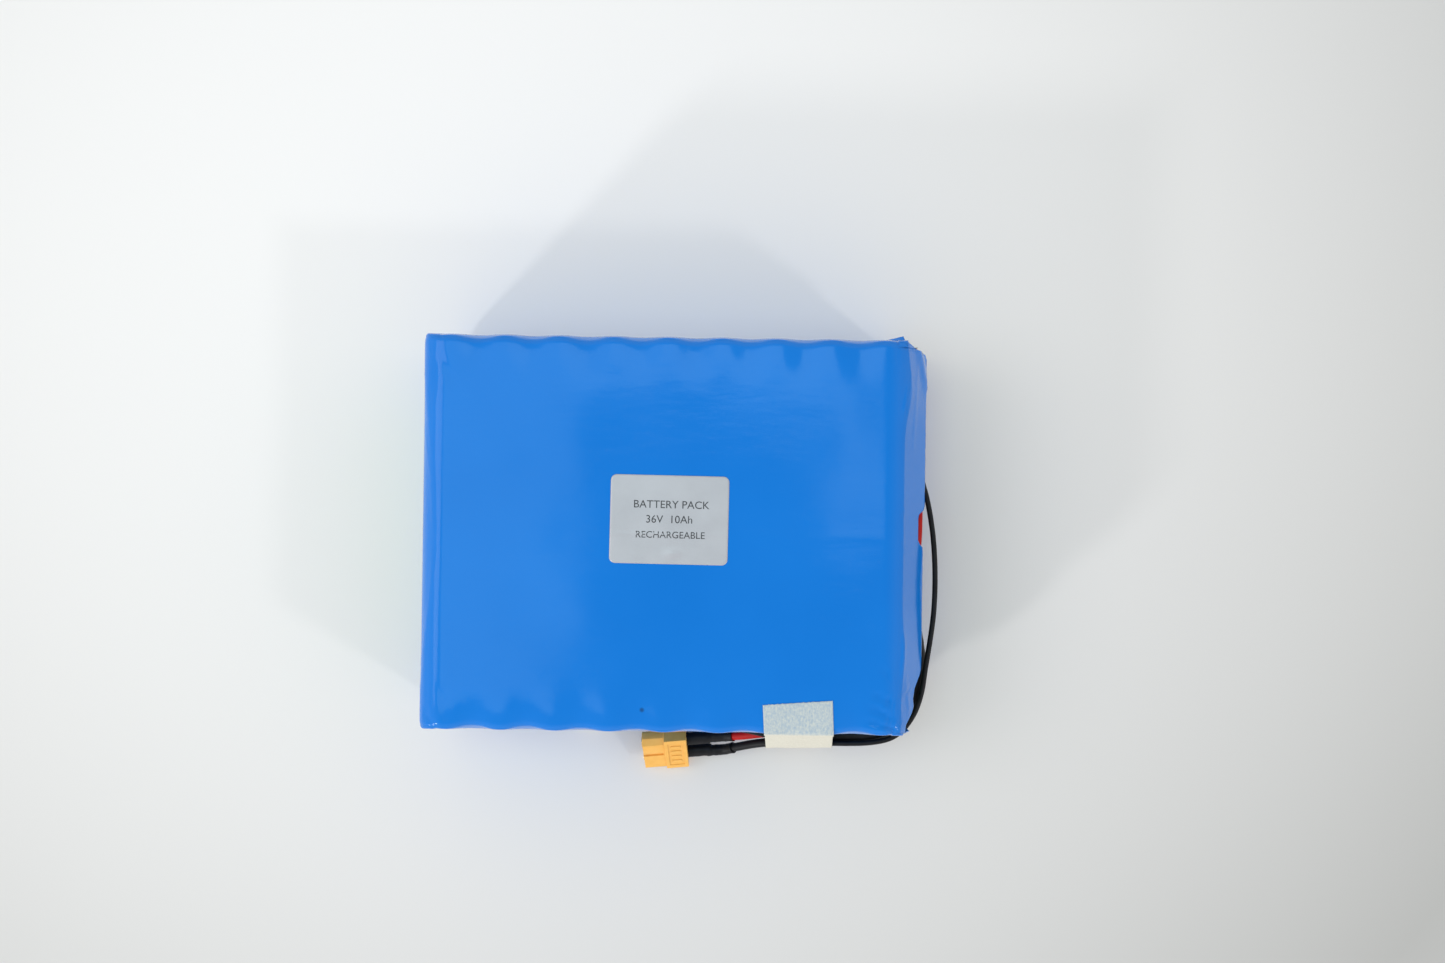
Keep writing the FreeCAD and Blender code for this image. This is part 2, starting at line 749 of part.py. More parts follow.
def inset(points, distance):
    """A convex outline, listed anticlockwise, moved inwards."""
    moved = []
    for before, here, after in zip(points[-1:] + points[:-1], points, points[1:] + points[:1]):
        first = Vector(here[0] - before[0], here[1] - before[1], 0).normalize()
        second = Vector(after[0] - here[0], after[1] - here[1], 0).normalize()
        normals = (Vector(-first.y, first.x, 0), Vector(-second.y, second.x, 0))
        bisector = (normals[0] + normals[1]).normalize()
        shift = bisector * (distance / bisector.dot(normals[0]))
        moved.append((here[0] + shift.x, here[1] + shift.y))
    return moved


film_edge = 2.0
left_bend = 9.0
free_edge = 35.0
film_outline = [
    (-half_length, 0.0),
    (half_length - 3.2, 0.0),
    (half_length, 7.0),
    (half_length, free_edge),
    (half_length - 6.6, top),
    (-half_length, top),
]


def film_block(name, distance):
    body = doc.addObject("PartDesign::Body", name)
    outline = inset(film_outline, distance)
    outline_in_xz = outline_sketch(body, name + "_outline", "XZ_Plane", outline)
    width_text = f"sizes.pack_width - {2 * distance}"
    width = pad(body, name + "_pad", outline_in_xz, 0, True, Length=width_text)
    doc.recompute()
    left = min(x for x, z in outline)

    def is_left_corner(edge):
        return runs_along(edge, 1) and abs(edge.CenterOfMass.x - left) < 1e-3

    rounded = body.newObject("PartDesign::Fillet", name + "_corners")
    rounded.Base = (width, edges_where(width.Shape, is_left_corner))
    rounded.Radius = left_bend - distance
    doc.recompute()
    side = size("pack_width") / 2 - distance

    def is_side_edge(edge):
        return all(abs(abs(vertex.Y) - side) < 1e-3 for vertex in edge.Vertexes) and not runs_along(edge, 1)

    softened = body.newObject("PartDesign::Fillet", name + "_edges")
    softened.Base = (rounded, edges_where(rounded.Shape, is_side_edge))
    softened.Radius = film_edge - distance
    doc.recompute()
    return body


film_outer = film_block("film_outer", 0.0)
film_inner = film_block("film_inner", film)
film_shell = cut("film_shell", film_outer, film_inner)
openings = fuse(
    "film_openings",
    [
        block("left_mouth", (-half_length - 5.0, -50.0, 14.0), (-half_length + 3.0, 50.0, 43.0)),
        block("lead_mouth", (84.5, -50.0, 9.0), (95.0, 52.0, free_edge)),
        block("corner_mouth", (68.0, -80.0, 20.0), (95.0, -45.0, 36.5)),
    ],
)
name_part(cut("film", film_shell, openings), "shrink_sleeve")

label_half_x, label_half_y, label_wall = size("label_length") / 2, size("label_width") / 2, size("label_wall")
label_plate = block(
    "label_plate",
    (-label_half_x, -label_half_y, 0.0),
    (label_half_x, label_half_y, label_wall),
    Length="sizes.label_length",
    Width="sizes.label_width",
    Height="sizes.label_wall",
)
doc.recompute()
label_corners = doc.addObject("Part::Fillet", "label_corners")
label_corners.Base = label_plate
upright_edges = [i for i, edge in enumerate(label_plate.Shape.Edges, start=1) if runs_along(edge, 2)]
label_radius = 2.0
label_corners.Edges = [(i, label_radius, label_radius) for i in upright_edges]
label_corners.Placement = place(-2.1, 5.2, top, FreeCAD.Rotation(Vector(0, 0, 1), -0.55))
name_part(label_corners, "label")

# Masking tape over the top edge, down to the leads and back under them.
tape_face = top + size("tape_wall") + 0.02
TAPE_SECTION = [
    (-56.0, tape_face),
    (-67.6, tape_face),
    (-68.3, 46.0),
    (-77.8, 28.0),
    (-80.0, 18.6),
    (-78.6, 12.8),
    (-73.4, 11.3),
    (-68.4, 9.2),
    (-67.7, 4.0),
]
tape_left = 31.2
tape_points = [Vector(tape_left, y, z) for y, z in TAPE_SECTION]
tape_bends = corner_radii(tape_points)
tape_bends[0] = film_edge + size("tape_wall") + 0.1
tape_line = rounded_path(tape_points, tape_bends)
tape_band = tape_line.extrude(Vector(size("tape_width"), 0, 0))
tape_shape = tape_band.makeOffsetShape(size("tape_wall"), 0.01, fill=True)
feature("tape", tape_shape, "masking_tape")

doc.recompute()
for thing in doc.Objects:
    if {"Invalid", "Error"} & set(thing.State):
        raise RuntimeError(f"{thing.Name} is {thing.State}")
for part in parts:
    if part.Shape.isNull() or not part.Shape.isValid() or not part.Shape.Solids:
        raise RuntimeError(f"{part.Label} has no sound shape")

routes = {
    "positive_lead": POSITIVE_ROUTE,
    "negative_lead": NEGATIVE_ROUTE,
    "sense_lead": SENSE_ROUTE,
    "lead_sleeve": SLEEVE_ROUTE,
}
for name, route in routes.items():
    radii = corner_radii([Vector(*point) for point in route])
    print(name, "length", round(route_length(route), 1), "radii", [round(r, 1) for r in radii])

os.makedirs("parts", exist_ok=True)
for part in parts:
    part.Shape.exportStep(f"parts/{part.Label}.step")
    print(part.Label, len(part.Shape.Solids), round(part.Shape.Volume, 1), part.Shape.BoundBox)
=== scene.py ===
import json
import math

import bmesh
import bpy
from mathutils import Matrix, Vector, noise


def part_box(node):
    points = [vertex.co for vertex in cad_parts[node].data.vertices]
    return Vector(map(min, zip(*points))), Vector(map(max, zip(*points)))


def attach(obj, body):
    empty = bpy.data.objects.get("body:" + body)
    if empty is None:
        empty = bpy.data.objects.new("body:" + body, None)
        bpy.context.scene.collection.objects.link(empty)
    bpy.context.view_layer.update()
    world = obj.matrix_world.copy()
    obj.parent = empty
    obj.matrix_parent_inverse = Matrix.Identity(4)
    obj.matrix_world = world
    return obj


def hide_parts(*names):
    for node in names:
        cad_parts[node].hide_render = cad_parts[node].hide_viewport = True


# The looks of a battery pack in a heat-shrink sleeve. Metres; lengths named in millimetres are
# multiplied by MM.

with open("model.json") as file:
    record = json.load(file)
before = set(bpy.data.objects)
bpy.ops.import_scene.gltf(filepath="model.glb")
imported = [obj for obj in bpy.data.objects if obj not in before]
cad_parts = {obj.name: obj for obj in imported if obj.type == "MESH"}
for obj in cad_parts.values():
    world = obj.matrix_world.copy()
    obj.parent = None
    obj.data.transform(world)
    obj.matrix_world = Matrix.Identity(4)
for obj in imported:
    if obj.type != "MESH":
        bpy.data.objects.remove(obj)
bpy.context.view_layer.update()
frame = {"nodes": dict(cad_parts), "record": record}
nodes = frame["nodes"]
MM = 0.001


# ---------------------------------------------------------------- camera and cords

CAMERA_PLACE = Vector((15.7, 18.4, 548.0)) * MM
CAMERA_TURN = math.radians(0.85)
SENSOR_WIDTH = 36.0
LENS_LENGTH = 36.2

camera_data = bpy.data.cameras.new("camera")
camera_data.sensor_width = SENSOR_WIDTH
camera_data.lens = LENS_LENGTH
camera_data.clip_start = 10 * MM
camera = bpy.data.objects.new("camera", camera_data)
camera.location = CAMERA_PLACE
camera.rotation_euler = (0, 0, CAMERA_TURN)
bpy.context.scene.collection.objects.link(camera)
bpy.context.scene.camera = camera

LEAD_RADIUS = 1.6 * MM
SENSE_RADIUS = 0.95 * MM
SLEEVE_RADIUS = 3.65 * MM

REAR_CENTRE = Vector((4.0, -79.6, 8.3)) * MM
YAW = math.radians(5.5)
ROLL = math.radians(42.0)
REARWARD = Vector((math.cos(YAW), math.sin(YAW), 0))
ACROSS = Vector((-math.sin(YAW), math.cos(YAW), 0))
WIDTH_AXIS = ACROSS * math.cos(ROLL) + Vector((0, 0, math.sin(ROLL)))
FACE_AXIS = ACROSS * -math.sin(ROLL) + Vector((0, 0, math.cos(ROLL)))
CONTACT_OFFSET = 3.6 * MM
# How far behind the connector's rear face the leads end in their cups, and run level from.
LEAD_IN_CUP = 2.6
RED_LEVEL_FROM = 13.0
BLACK_LEVEL_FROM = 12.0
BLACK_SAG = Vector((0, -0.9, -0.4)) * MM


def cup_point(side, distance):
    """A point on a contact's axis, that many millimetres behind the connector's rear face."""
    return REAR_CENTRE + WIDTH_AXIS * (side * CONTACT_OFFSET) + REARWARD * (distance * MM)


def metres(points):
    return [Vector(point) * MM for point in points]


SLEEVE_ROUTE = metres([
    (83.9, -32.8, 28.0),
    (85.9, -42.3, 28.2),
    (86.0, -51.3, 27.9),
    (84.1, -59.8, 27.3),
    (79.6, -66.9, 26.6),
    (72.1, -71.0, 25.6),
    (61.1, -72.3, 24.3),
    (48.1, -72.8, 22.8),
])
POSITIVE_ROUTE = metres([
    (82.2, -32.4, 28.0),
    (84.2, -42.1, 28.2),
    (84.3, -51.1, 27.9),
    (82.5, -59.2, 27.3),
    (78.4, -65.6, 26.6),
    (71.6, -69.4, 25.6),
    (61.0, -70.6, 24.3),
    (48.1, -71.1, 22.8),
    (39.1, -71.7, 21.2),
    (30.6, -73.2, 18.4),
    (23.0, -74.9, 14.2),
]) + [cup_point(1, RED_LEVEL_FROM), cup_point(1, LEAD_IN_CUP)]
NEGATIVE_ROUTE = metres([
    (85.6, -33.1, 28.0),
    (87.6, -42.4, 28.2),
    (87.7, -51.5, 27.9),
    (85.7, -60.4, 27.3),
    (80.8, -68.2, 26.6),
    (72.6, -72.6, 25.6),
    (61.2, -74.0, 24.3),
    (48.1, -74.5, 22.8),
    (39.1, -75.7, 20.2),
    (30.6, -76.9, 16.5),
    (22.4, -79.7, 10.2),
]) + [cup_point(-1, BLACK_LEVEL_FROM) + BLACK_SAG, cup_point(-1, LEAD_IN_CUP)]
SENSE_ROUTE = metres([
    (83.9, 29.5, 30.2),
    (86.3, 21.0, 30.9),
    (88.9, 12.0, 31.8),
    (90.8, 0.0, 32.7),
    (91.6, -13.0, 33.2),
    (91.4, -26.0, 33.2),
    (90.1, -37.0, 33.1),
    (88.5, -47.0, 33.0),
    (87.6, -56.0, 32.2),
    (84.6, -64.9, 31.3),
    (78.8, -71.9, 30.3),
    (70.4, -74.2, 29.4),
    (59.0, -74.7, 28.3),
    (47.5, -74.6, 27.3),
    (37.5, -73.4, 26.2),
    (28.0, -71.6, 24.9),
    (18.0, -69.9, 22.4),
    (8.0, -69.1, 18.2),
    (-2.0, -69.0, 12.6),
    (-11.5, -69.3, 7.2),
    (-20.0, -69.9, 3.8),
    (-27.7, -70.4, 2.5),
])


def link(obj):
    bpy.context.scene.collection.objects.link(obj)
    return obj


def cord_curve(name, route, radius):
    """A round cord on one smooth spline with the route's points as its control points."""
    data = bpy.data.curves.new(name, "CURVE")
    data.dimensions = "3D"
    data.bevel_depth = radius
    data.bevel_resolution = 5
    data.resolution_u = 10
    data.use_fill_caps = True
    spline = data.splines.new("NURBS")
    spline.points.add(len(route) - 1)
    for point, place in zip(spline.points, route):
        point.co = (*place, 1.0)
    spline.order_u = 3
    spline.use_endpoint_u = True
    return link(bpy.data.objects.new(name, data))


def centreline(name, route):
    """The points down the middle of the route's spline."""
    bare = cord_curve(name, route, 0)
    mesh = bpy.data.meshes.new_from_object(bare)
    line = [vertex.co.copy() for vertex in mesh.vertices]
    bpy.data.meshes.remove(mesh)
    curve = bare.data
    bpy.data.objects.remove(bare)
    bpy.data.curves.remove(curve)
    return line


def line_length(line):
    return sum((after - before).length for before, after in zip(line, line[1:]))


positive_line = centreline("positive_line", POSITIVE_ROUTE)
negative_line = centreline("negative_line", NEGATIVE_ROUTE)
sense_line = centreline("sense_line", SENSE_ROUTE)
sleeve_line = centreline("sleeve_line", SLEEVE_ROUTE)

positive_lead = cord_curve("red_power_lead", POSITIVE_ROUTE, LEAD_RADIUS)
negative_lead = cord_curve("black_power_lead", NEGATIVE_ROUTE, LEAD_RADIUS)
sense_lead = cord_curve("thin_sense_lead", SENSE_ROUTE, SENSE_RADIUS)


# ---------------------------------------------------------------- materials


def new_material(name):
    material = bpy.data.materials.new(name)
    material.use_nodes = True
    tree = material.node_tree
    shader = tree.nodes["Principled BSDF"]
    return material, tree, shader


def place_on(tree, scale=(1, 1, 1), turn=(0, 0, 0)):
    """Object coordinates through a Mapping node."""
    coordinates = tree.nodes.new("ShaderNodeTexCoord")
    mapping = tree.nodes.new("ShaderNodeMapping")
    mapping.inputs["Scale"].default_value = scale
    mapping.inputs["Rotation"].default_value = turn
    tree.links.new(coordinates.outputs["Object"], mapping.inputs["Vector"])
    return mapping.outputs["Vector"]


def noise_node(tree, vector, scale, detail=4.0, roughness=0.5):
    """Noise with a scale in features to the metre."""
    made = tree.nodes.new("ShaderNodeTexNoise")
    made.inputs["Scale"].default_value = scale
    made.inputs["Detail"].default_value = detail
    made.inputs["Roughness"].default_value = roughness
    tree.links.new(vector, made.inputs["Vector"])
    return made.outputs["Fac"]


def ramp(tree, factor, stops):
    made = tree.nodes.new("ShaderNodeValToRGB")
    elements = made.color_ramp.elements
    while len(elements) < len(stops):
        elements.new(0.5)
    for element, (position, color) in zip(elements, stops):
        element.position = position
        element.color = (*color, 1.0)
    tree.links.new(factor, made.inputs["Fac"])
    return made.outputs["Color"]


def bump(tree, shader, heights, distances):
    """Bump nodes in a row, one for each height."""
    previous = None
    for height, distance in zip(heights, distances):
        made = tree.nodes.new("ShaderNodeBump")
        made.inputs["Distance"].default_value = distance
        made.inputs["Strength"].default_value = 1.0
        tree.links.new(height, made.inputs["Height"])
        if previous is not None:
            tree.links.new(previous, made.inputs["Normal"])
        previous = made.outputs["Normal"]
    tree.links.new(previous, shader.inputs["Normal"])


def to_range(tree, factor, low, high, start=0.0, end=1.0):
    """low where the factor is at start, high where it is at end."""
    made = tree.nodes.new("ShaderNodeMapRange")
    made.inputs["From Min"].default_value = start
    made.inputs["From Max"].default_value = end
    made.inputs["To Min"].default_value = low
    made.inputs["To Max"].default_value = high
    tree.links.new(factor, made.inputs["Value"])
    return made.outputs["Result"]


def color_mix(tree, factor, first):
    """A colour Mix node whose second colour is still to be set."""
    made = tree.nodes.new("ShaderNodeMix")
    made.data_type = "RGBA"
    tree.links.new(factor, made.inputs[0])
    tree.links.new(first, made.inputs[6])
    return made


GLOSS_SPREAD = 0.06
SPECK_PLACE = (-0.0104, -0.0592, 0.0571)
SPECK_CORE = 0.0004
SPECK_EDGE = 0.0010
SPECK_STRENGTH = 0.75
SPECK_COLOR = (0.01, 0.05, 0.16, 1)
STUCK_HEIGHTS = (0.0560, 0.0570)


def plain_finish(
    name, dark, light, roughness, mottle_scale, grain_scale, depth=0.00001, metallic=0.0, specular=0.5
):
    """A moulded, drawn or plated surface: mottled colour, uneven gloss and fine grain."""
    material, tree, shader = new_material(name)
    vector = place_on(tree)
    mottle = noise_node(tree, vector, mottle_scale)
    fine = noise_node(tree, vector, grain_scale, 2.0)
    gloss = to_range(tree, mottle, roughness - GLOSS_SPREAD, roughness + GLOSS_SPREAD)
    tree.links.new(ramp(tree, mottle, [(0.3, dark), (0.7, light)]), shader.inputs["Base Color"])
    tree.links.new(gloss, shader.inputs["Roughness"])
    bump(tree, shader, [fine], [depth])
    shader.inputs["Metallic"].default_value = metallic
    shader.inputs["Specular IOR Level"].default_value = specular
    return material


def film_finish():
    """Stretched PVC: gloss over solid blue, with drawn streaks, faint orange peel and a dark speck."""
    material, tree, shader = new_material("blue_pvc_film")
    vector = place_on(tree)
    streaked = place_on(tree, (14.0, 60.0, 60.0))
    cloud = noise_node(tree, vector, 22.0, 3.0)
    streak = noise_node(tree, streaked, 3.0, 5.0, 0.6)
    peel = noise_node(tree, vector, 900.0, 2.0)
    blue = ramp(tree, cloud, [(0.30, (0.0060, 0.169, 0.600)), (0.70, (0.0080, 0.181, 0.628))])
    away = tree.nodes.new("ShaderNodeVectorMath")
    away.operation = "DISTANCE"
    away.inputs[1].default_value = SPECK_PLACE
    tree.links.new(vector, away.inputs[0])
    in_speck = to_range(tree, away.outputs["Value"], SPECK_STRENGTH, 0.0, SPECK_CORE, SPECK_EDGE)
    marked = color_mix(tree, in_speck, blue)
    marked.inputs[7].default_value = SPECK_COLOR
    tree.links.new(marked.outputs[2], shader.inputs["Base Color"])
    tree.links.new(to_range(tree, streak, 0.07, 0.14), shader.inputs["Roughness"])
    bump(tree, shader, [streak, peel], [0.00006, 0.000008])
    shader.inputs["Specular IOR Level"].default_value = 0.22
    return material


def label_finish():
    """Silvered plastic sticker with a satin surface."""
    material, tree, shader = new_material("silver_sticker")
    vector = place_on(tree)
    cloud = noise_node(tree, vector, 90.0, 3.0)
    grain = noise_node(tree, vector, 5000.0, 2.0)
    grey = ramp(tree, cloud, [(0.3, (0.435, 0.435, 0.465)), (0.7, (0.475, 0.475, 0.505))])
    tree.links.new(grey, shader.inputs["Base Color"])
    tree.links.new(to_range(tree, grain, 0.36, 0.46), shader.inputs["Roughness"])
    bump(tree, shader, [grain], [0.000004])
    shader.inputs["Metallic"].default_value = 0.25
    return material


def tape_finish():
    """Creped masking paper that lets the blue below it through where it is stuck down flat."""
    material, tree, shader = new_material("crepe_masking_paper")
    vector = place_on(tree)
    crossways = place_on(tree, (900.0, 2600.0, 2600.0), (0, 0, 0.03))
    crepe = noise_node(tree, crossways, 1.0, 4.0, 0.65)
    woven = place_on(tree, (1500.0, 800.0, 800.0))
    blotch = noise_node(tree, woven, 1.0, 4.0, 0.7)
    paper = ramp(tree, blotch, [(0.30, (0.66, 0.63, 0.53)), (0.70, (0.74, 0.71, 0.61))])
    soaked = ramp(tree, blotch, [(0.34, (0.33, 0.42, 0.51)), (0.64, (0.55, 0.58, 0.55))])
    separate = tree.nodes.new("ShaderNodeSeparateXYZ")
    tree.links.new(vector, separate.inputs["Vector"])
    stuck = to_range(tree, separate.outputs["Z"], 0.0, 1.0, *STUCK_HEIGHTS)
    mix = color_mix(tree, stuck, paper)
    tree.links.new(soaked, mix.inputs[7])
    tree.links.new(mix.outputs[2], shader.inputs["Base Color"])
    shader.inputs["Roughness"].default_value = 0.75
    bump(tree, shader, [crepe], [0.00012])
    return material


def board_finish():
    """Green board with copper runs under the solder mask."""
    material, tree, shader = new_material("green_circuit_board")
    vector = place_on(tree, (1, 260.0, 400.0))
    runs = tree.nodes.new("ShaderNodeTexBrick")
    runs.inputs["Scale"].default_value = 1.0
    runs.inputs["Color1"].default_value = (0.010, 0.110, 0.050, 1)
    runs.inputs["Color2"].default_value = (0.014, 0.150, 0.070, 1)
    runs.inputs["Mortar"].default_value = (0.020, 0.220, 0.100, 1)
    tree.links.new(vector, runs.inputs["Vector"])
    tree.links.new(runs.outputs["Color"], shader.inputs["Base Color"])
    bump(tree, shader, [runs.outputs["Fac"]], [0.00003])
    shader.inputs["Roughness"].default_value = 0.35
    return material


def ink_finish():
    """Matt dark grey print."""
    material, tree, shader = new_material("printed_ink")
    mottle = noise_node(tree, place_on(tree), 1500.0)
    grey = ramp(tree, mottle, [(0.3, (0.030, 0.032, 0.036)), (0.7, (0.055, 0.058, 0.064))])
    tree.links.new(grey, shader.inputs["Base Color"])
    shader.inputs["Roughness"].default_value = 0.55
    return material


BLACK = ((0.006, 0.006, 0.007), (0.012, 0.012, 0.014))
FINISHES = {
    "blue_film": film_finish(),
    "silver_label": label_finish(),
    "crepe_tape": tape_finish(),
    "yellow_nylon": plain_finish(
        "yellow_moulded_nylon", (0.84, 0.43, 0.085), (0.90, 0.48, 0.110), 0.42, 300, 6000, specular=0.3
    ),
    "gold_plate": plain_finish(
        "gold_plated_brass", (0.80, 0.50, 0.16), (0.90, 0.62, 0.24), 0.25, 400, 4000, 0.000008, metallic=1.0
    ),
    "red_silicone": plain_finish(
        "red_silicone", (0.40, 0.006, 0.005), (0.48, 0.010, 0.009), 0.50, 250, 3000, specular=0.18
    ),
    "black_silicone": plain_finish("black_silicone", *BLACK, 0.45, 250, 3000, specular=0.18),
    "black_heat_shrink": plain_finish("black_heat_shrink", *BLACK, 0.42, 350, 1500, 0.00003, specular=0.18),
    "cell_wrap": plain_finish("green_cell_wrap", (0.02, 0.30, 0.16), (0.03, 0.38, 0.20), 0.30, 60, 2500),
    "nickel": plain_finish(
        "nickel_strip", (0.52, 0.50, 0.46), (0.68, 0.66, 0.61), 0.34, 200, 3000, metallic=1.0
    ),
    "insulator_paper": plain_finish(
        "insulating_paper", (0.58, 0.60, 0.52), (0.68, 0.70, 0.62), 0.80, 200, 2500, 0.00004
    ),
    "fibre_board": plain_finish(
        "epoxy_glass_board", (0.16, 0.36, 0.22), (0.22, 0.44, 0.28), 0.45, 120, 1800, 0.00003
    ),
    "foam": plain_finish(
        "black_cell_foam", (0.018, 0.018, 0.020), (0.045, 0.045, 0.050), 0.90, 600, 1600, 0.00012
    ),
    "circuit_board": board_finish(),
    "chip_plastic": plain_finish(
        "moulded_epoxy", (0.012, 0.012, 0.014), (0.026, 0.026, 0.030), 0.50, 500, 5000
    ),
    "heatsink_aluminium": plain_finish(
        "extruded_aluminium", (0.60, 0.61, 0.63), (0.76, 0.77, 0.79), 0.32, 150, 3000, metallic=1.0
    ),
    "white_nylon": plain_finish(
        "white_moulded_nylon", (0.72, 0.71, 0.66), (0.80, 0.79, 0.74), 0.45, 300, 5000
    ),
    "wire_insulation": plain_finish(
        "thin_wire_insulation", (0.45, 0.44, 0.41), (0.60, 0.59, 0.55), 0.40, 260, 4000
    ),
}

slot_of = {entry["node"]: entry["material_slot"] for entry in frame["record"]["subparts"]}
for name, obj in nodes.items():
    obj.data.materials.clear()
    obj.data.materials.append(FINISHES[slot_of[name]])


def finish_piece(obj, slot, *replaced, smooth=True):
    """Gives a piece its material, its body and the CAD nodes that it stands for."""
    obj.data.materials.clear()
    obj.data.materials.append(FINISHES[slot])
    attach(obj, "root")
    if replaced:
        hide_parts(*replaced)
    if obj.type == "MESH" and smooth:
        obj.data.shade_smooth()
    return obj


def mesh_piece(name, bm):
    data = bpy.data.meshes.new(name)
    bm.to_mesh(data)
    bm.free()
    return link(bpy.data.objects.new(name, data))


def face_outwards(bm):
    """Turns an open skin so that its highest face looks up."""
    bmesh.ops.recalc_face_normals(bm, faces=bm.faces)
    highest = max(bm.faces, key=lambda face: face.calc_center_median().z)
    if highest.normal.z < 0:
        bmesh.ops.reverse_faces(bm, faces=bm.faces)


def give_wall(piece, thickness):
    """Thickens a skin inwards, by that many millimetres."""
    wall = piece.modifiers.new("wall", "SOLIDIFY")
    wall.thickness = thickness * MM
    wall.offset = -1


# ---------------------------------------------------------------- the film sleeve

film_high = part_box("shrink_sleeve")[1]
HALF_LENGTH = film_high.x / MM
HALF_WIDTH = film_high.y / MM
TOP = film_high.z / MM
FILM_WALL = 0.2
PITCH = 18.5
COLUMN_COUNT = 9
COLUMN_REACH = 4.0
FIRST_X = -HALF_LENGTH + 0.7 + PITCH / 2
LAST_X = FIRST_X + PITCH * (COLUMN_COUNT - 1)
LOWEST_LAYER = 10.05

# The section round the pack: where each side ends, and the share of a side that is half a corner.
SIDE_ENDS = [(0.36, "top"), (0.50, "south"), (0.86, "bottom"), (1.0, "north")]
LONG_ARC = 0.05
SHORT_ARC = 0.11

# The long edges are nearly square, and the left end is a wide bend with a lip round a window.
LONG_CORNER = 2.2
LEFT_BEND = 9.0
LEFT_CORNER = 2.0
LIP_SHARE = 0.42
LIP_RISE = 4.6
LIP_REACH = 13.5
LIP_RIPPLE = 0.35
LENS_HALF = 52
LENS_FLATNESS = 0.45

# The right end bends down over the last cells and runs as a flat facet to its free edge.
RIGHT_BEND = 12.7
RIGHT_TURN = math.radians(31.0)
EXTRA_TURN = math.radians(5.8)
BEND_SHARE = 0.30
EDGE_Z = 35.0
MOUTH_LOW = 12.0
BOTTOM_CURL = 4.0
FLAT_SHARE = 0.5
CURL_SHARE = 0.75

# How far the film is drawn in between the cells and pushed out by them.
SIDE_DRAW = 1.05
EDGE_DRAW = 0.60
TOP_DRAW = 0.75
BASE_SHARE = 0.35
CELL_BULGE = 0.50
LEAD_BULGE = 0.7

# Creases and dents: from, to, half width, depth, with the ridges negative.
FOLDS = [
    ((78.6, 52.0), (77.0, 43.0), 0.7, -0.70),
    ((78.4, -33.0), (77.6, -47.0), 0.6, -0.60),
    ((79.2, -48.0), (81.4, -60.0), 0.8, -0.60),
    ((82.8, 62.0), (81.4, 30.0), 0.7, -0.30),
    ((-86.4, 36.0), (-83.2, 18.0), 0.5, -0.30),
    ((-83.2, 18.0), (-81.4, -1.0), 0.5, -0.30),
    ((-81.4, -1.0), (-82.8, -22.0), 0.5, -0.30),
    ((-82.8, -22.0), (-86.4, -45.0), 0.5, -0.30),
    ((70.5, -45.0), (74.0, -46.0), 0.7, 0.55),
    ((68.0, -53.5), (74.8, -55.5), 0.8, 0.70),
    ((67.0, -57.5), (75.0, -61.5), 0.9, 0.80),
    ((66.0, -62.0), (75.5, -64.8), 0.8, 0.70),
    ((72.8, -46.2), (74.8, -47.2), 0.5, -0.70),
    ((73.5, -55.2), (75.8, -56.4), 0.5, -0.80),
    ((73.5, -61.4), (76.0, -62.3), 0.5, -0.80),
    ((-84.5, -60.5), (-81.0, -66.0), 0.8, 0.60),
    ((-79.0, -52.0), (-76.5, -64.5), 0.9, 0.30),
    ((-80.5, 61.0), (-76.0, 50.0), 0.9, 0.30),
    ((-83.0, 46.0), (-81.5, 60.0), 0.8, 0.35),
]


def smooth_step(low, high, value):
    share = min(1.0, max(0.0, (value - low) / (high - low)))
    return share * share * (3 - 2 * share)


def bell(value, centre, width):
    return math.exp(-(((value - centre) / width) ** 2))


def between_cells(x):
    """0 over the middle of a column of cells and 1 between two of them."""
    if x < FIRST_X - COLUMN_REACH or x > LAST_X + COLUMN_REACH:
        return 0.0
    return 0.5 - 0.5 * math.cos(2 * math.pi * (x - FIRST_X) / PITCH)


def section_point(around, low_z, high_z, half_y, corner):
    """A point of a rounded rectangle, for around from 0 to 1: top, south side, bottom, north side."""
    corner = min(corner, half_y, (high_z - low_z) / 2)
    start = 0.0
    for end, side in SIDE_ENDS:
        if around <= end or side == "north":
            share = (around - start) / (end - start)
            break
        start = end
    wide, tall = half_y - corner, (high_z - low_z) / 2 - corner
    middle = (high_z + low_z) / 2
    arc = LONG_ARC if side in ("top", "bottom") else SHORT_ARC
    run, lean = 2 * (share - arc) / (1 - 2 * arc) - 1, 0.0
    if share < arc:
        run, lean = -1.0, -math.pi / 4 * (1 - share / arc)
    elif share > 1 - arc:
        run, lean = 1.0, math.pi / 4 * ((share - 1 + arc) / arc)
    out, turn = corner * math.cos(lean), corner * math.sin(lean)
    if side == "top":
        return -(run * wide + turn), middle + tall + out
    if side == "south":
        return -(wide + out), middle - (run * tall + turn)
    if side == "bottom":
        return run * wide + turn, middle - tall - out
    return wide + out, middle + run * tall + turn


def left_facet(y):
    """Where the flat lens in the left bend starts, as a share of the bend."""
    return 0.16 + 0.55 * min(1.0, (abs(y + 1) / LENS_HALF) ** 1.7)


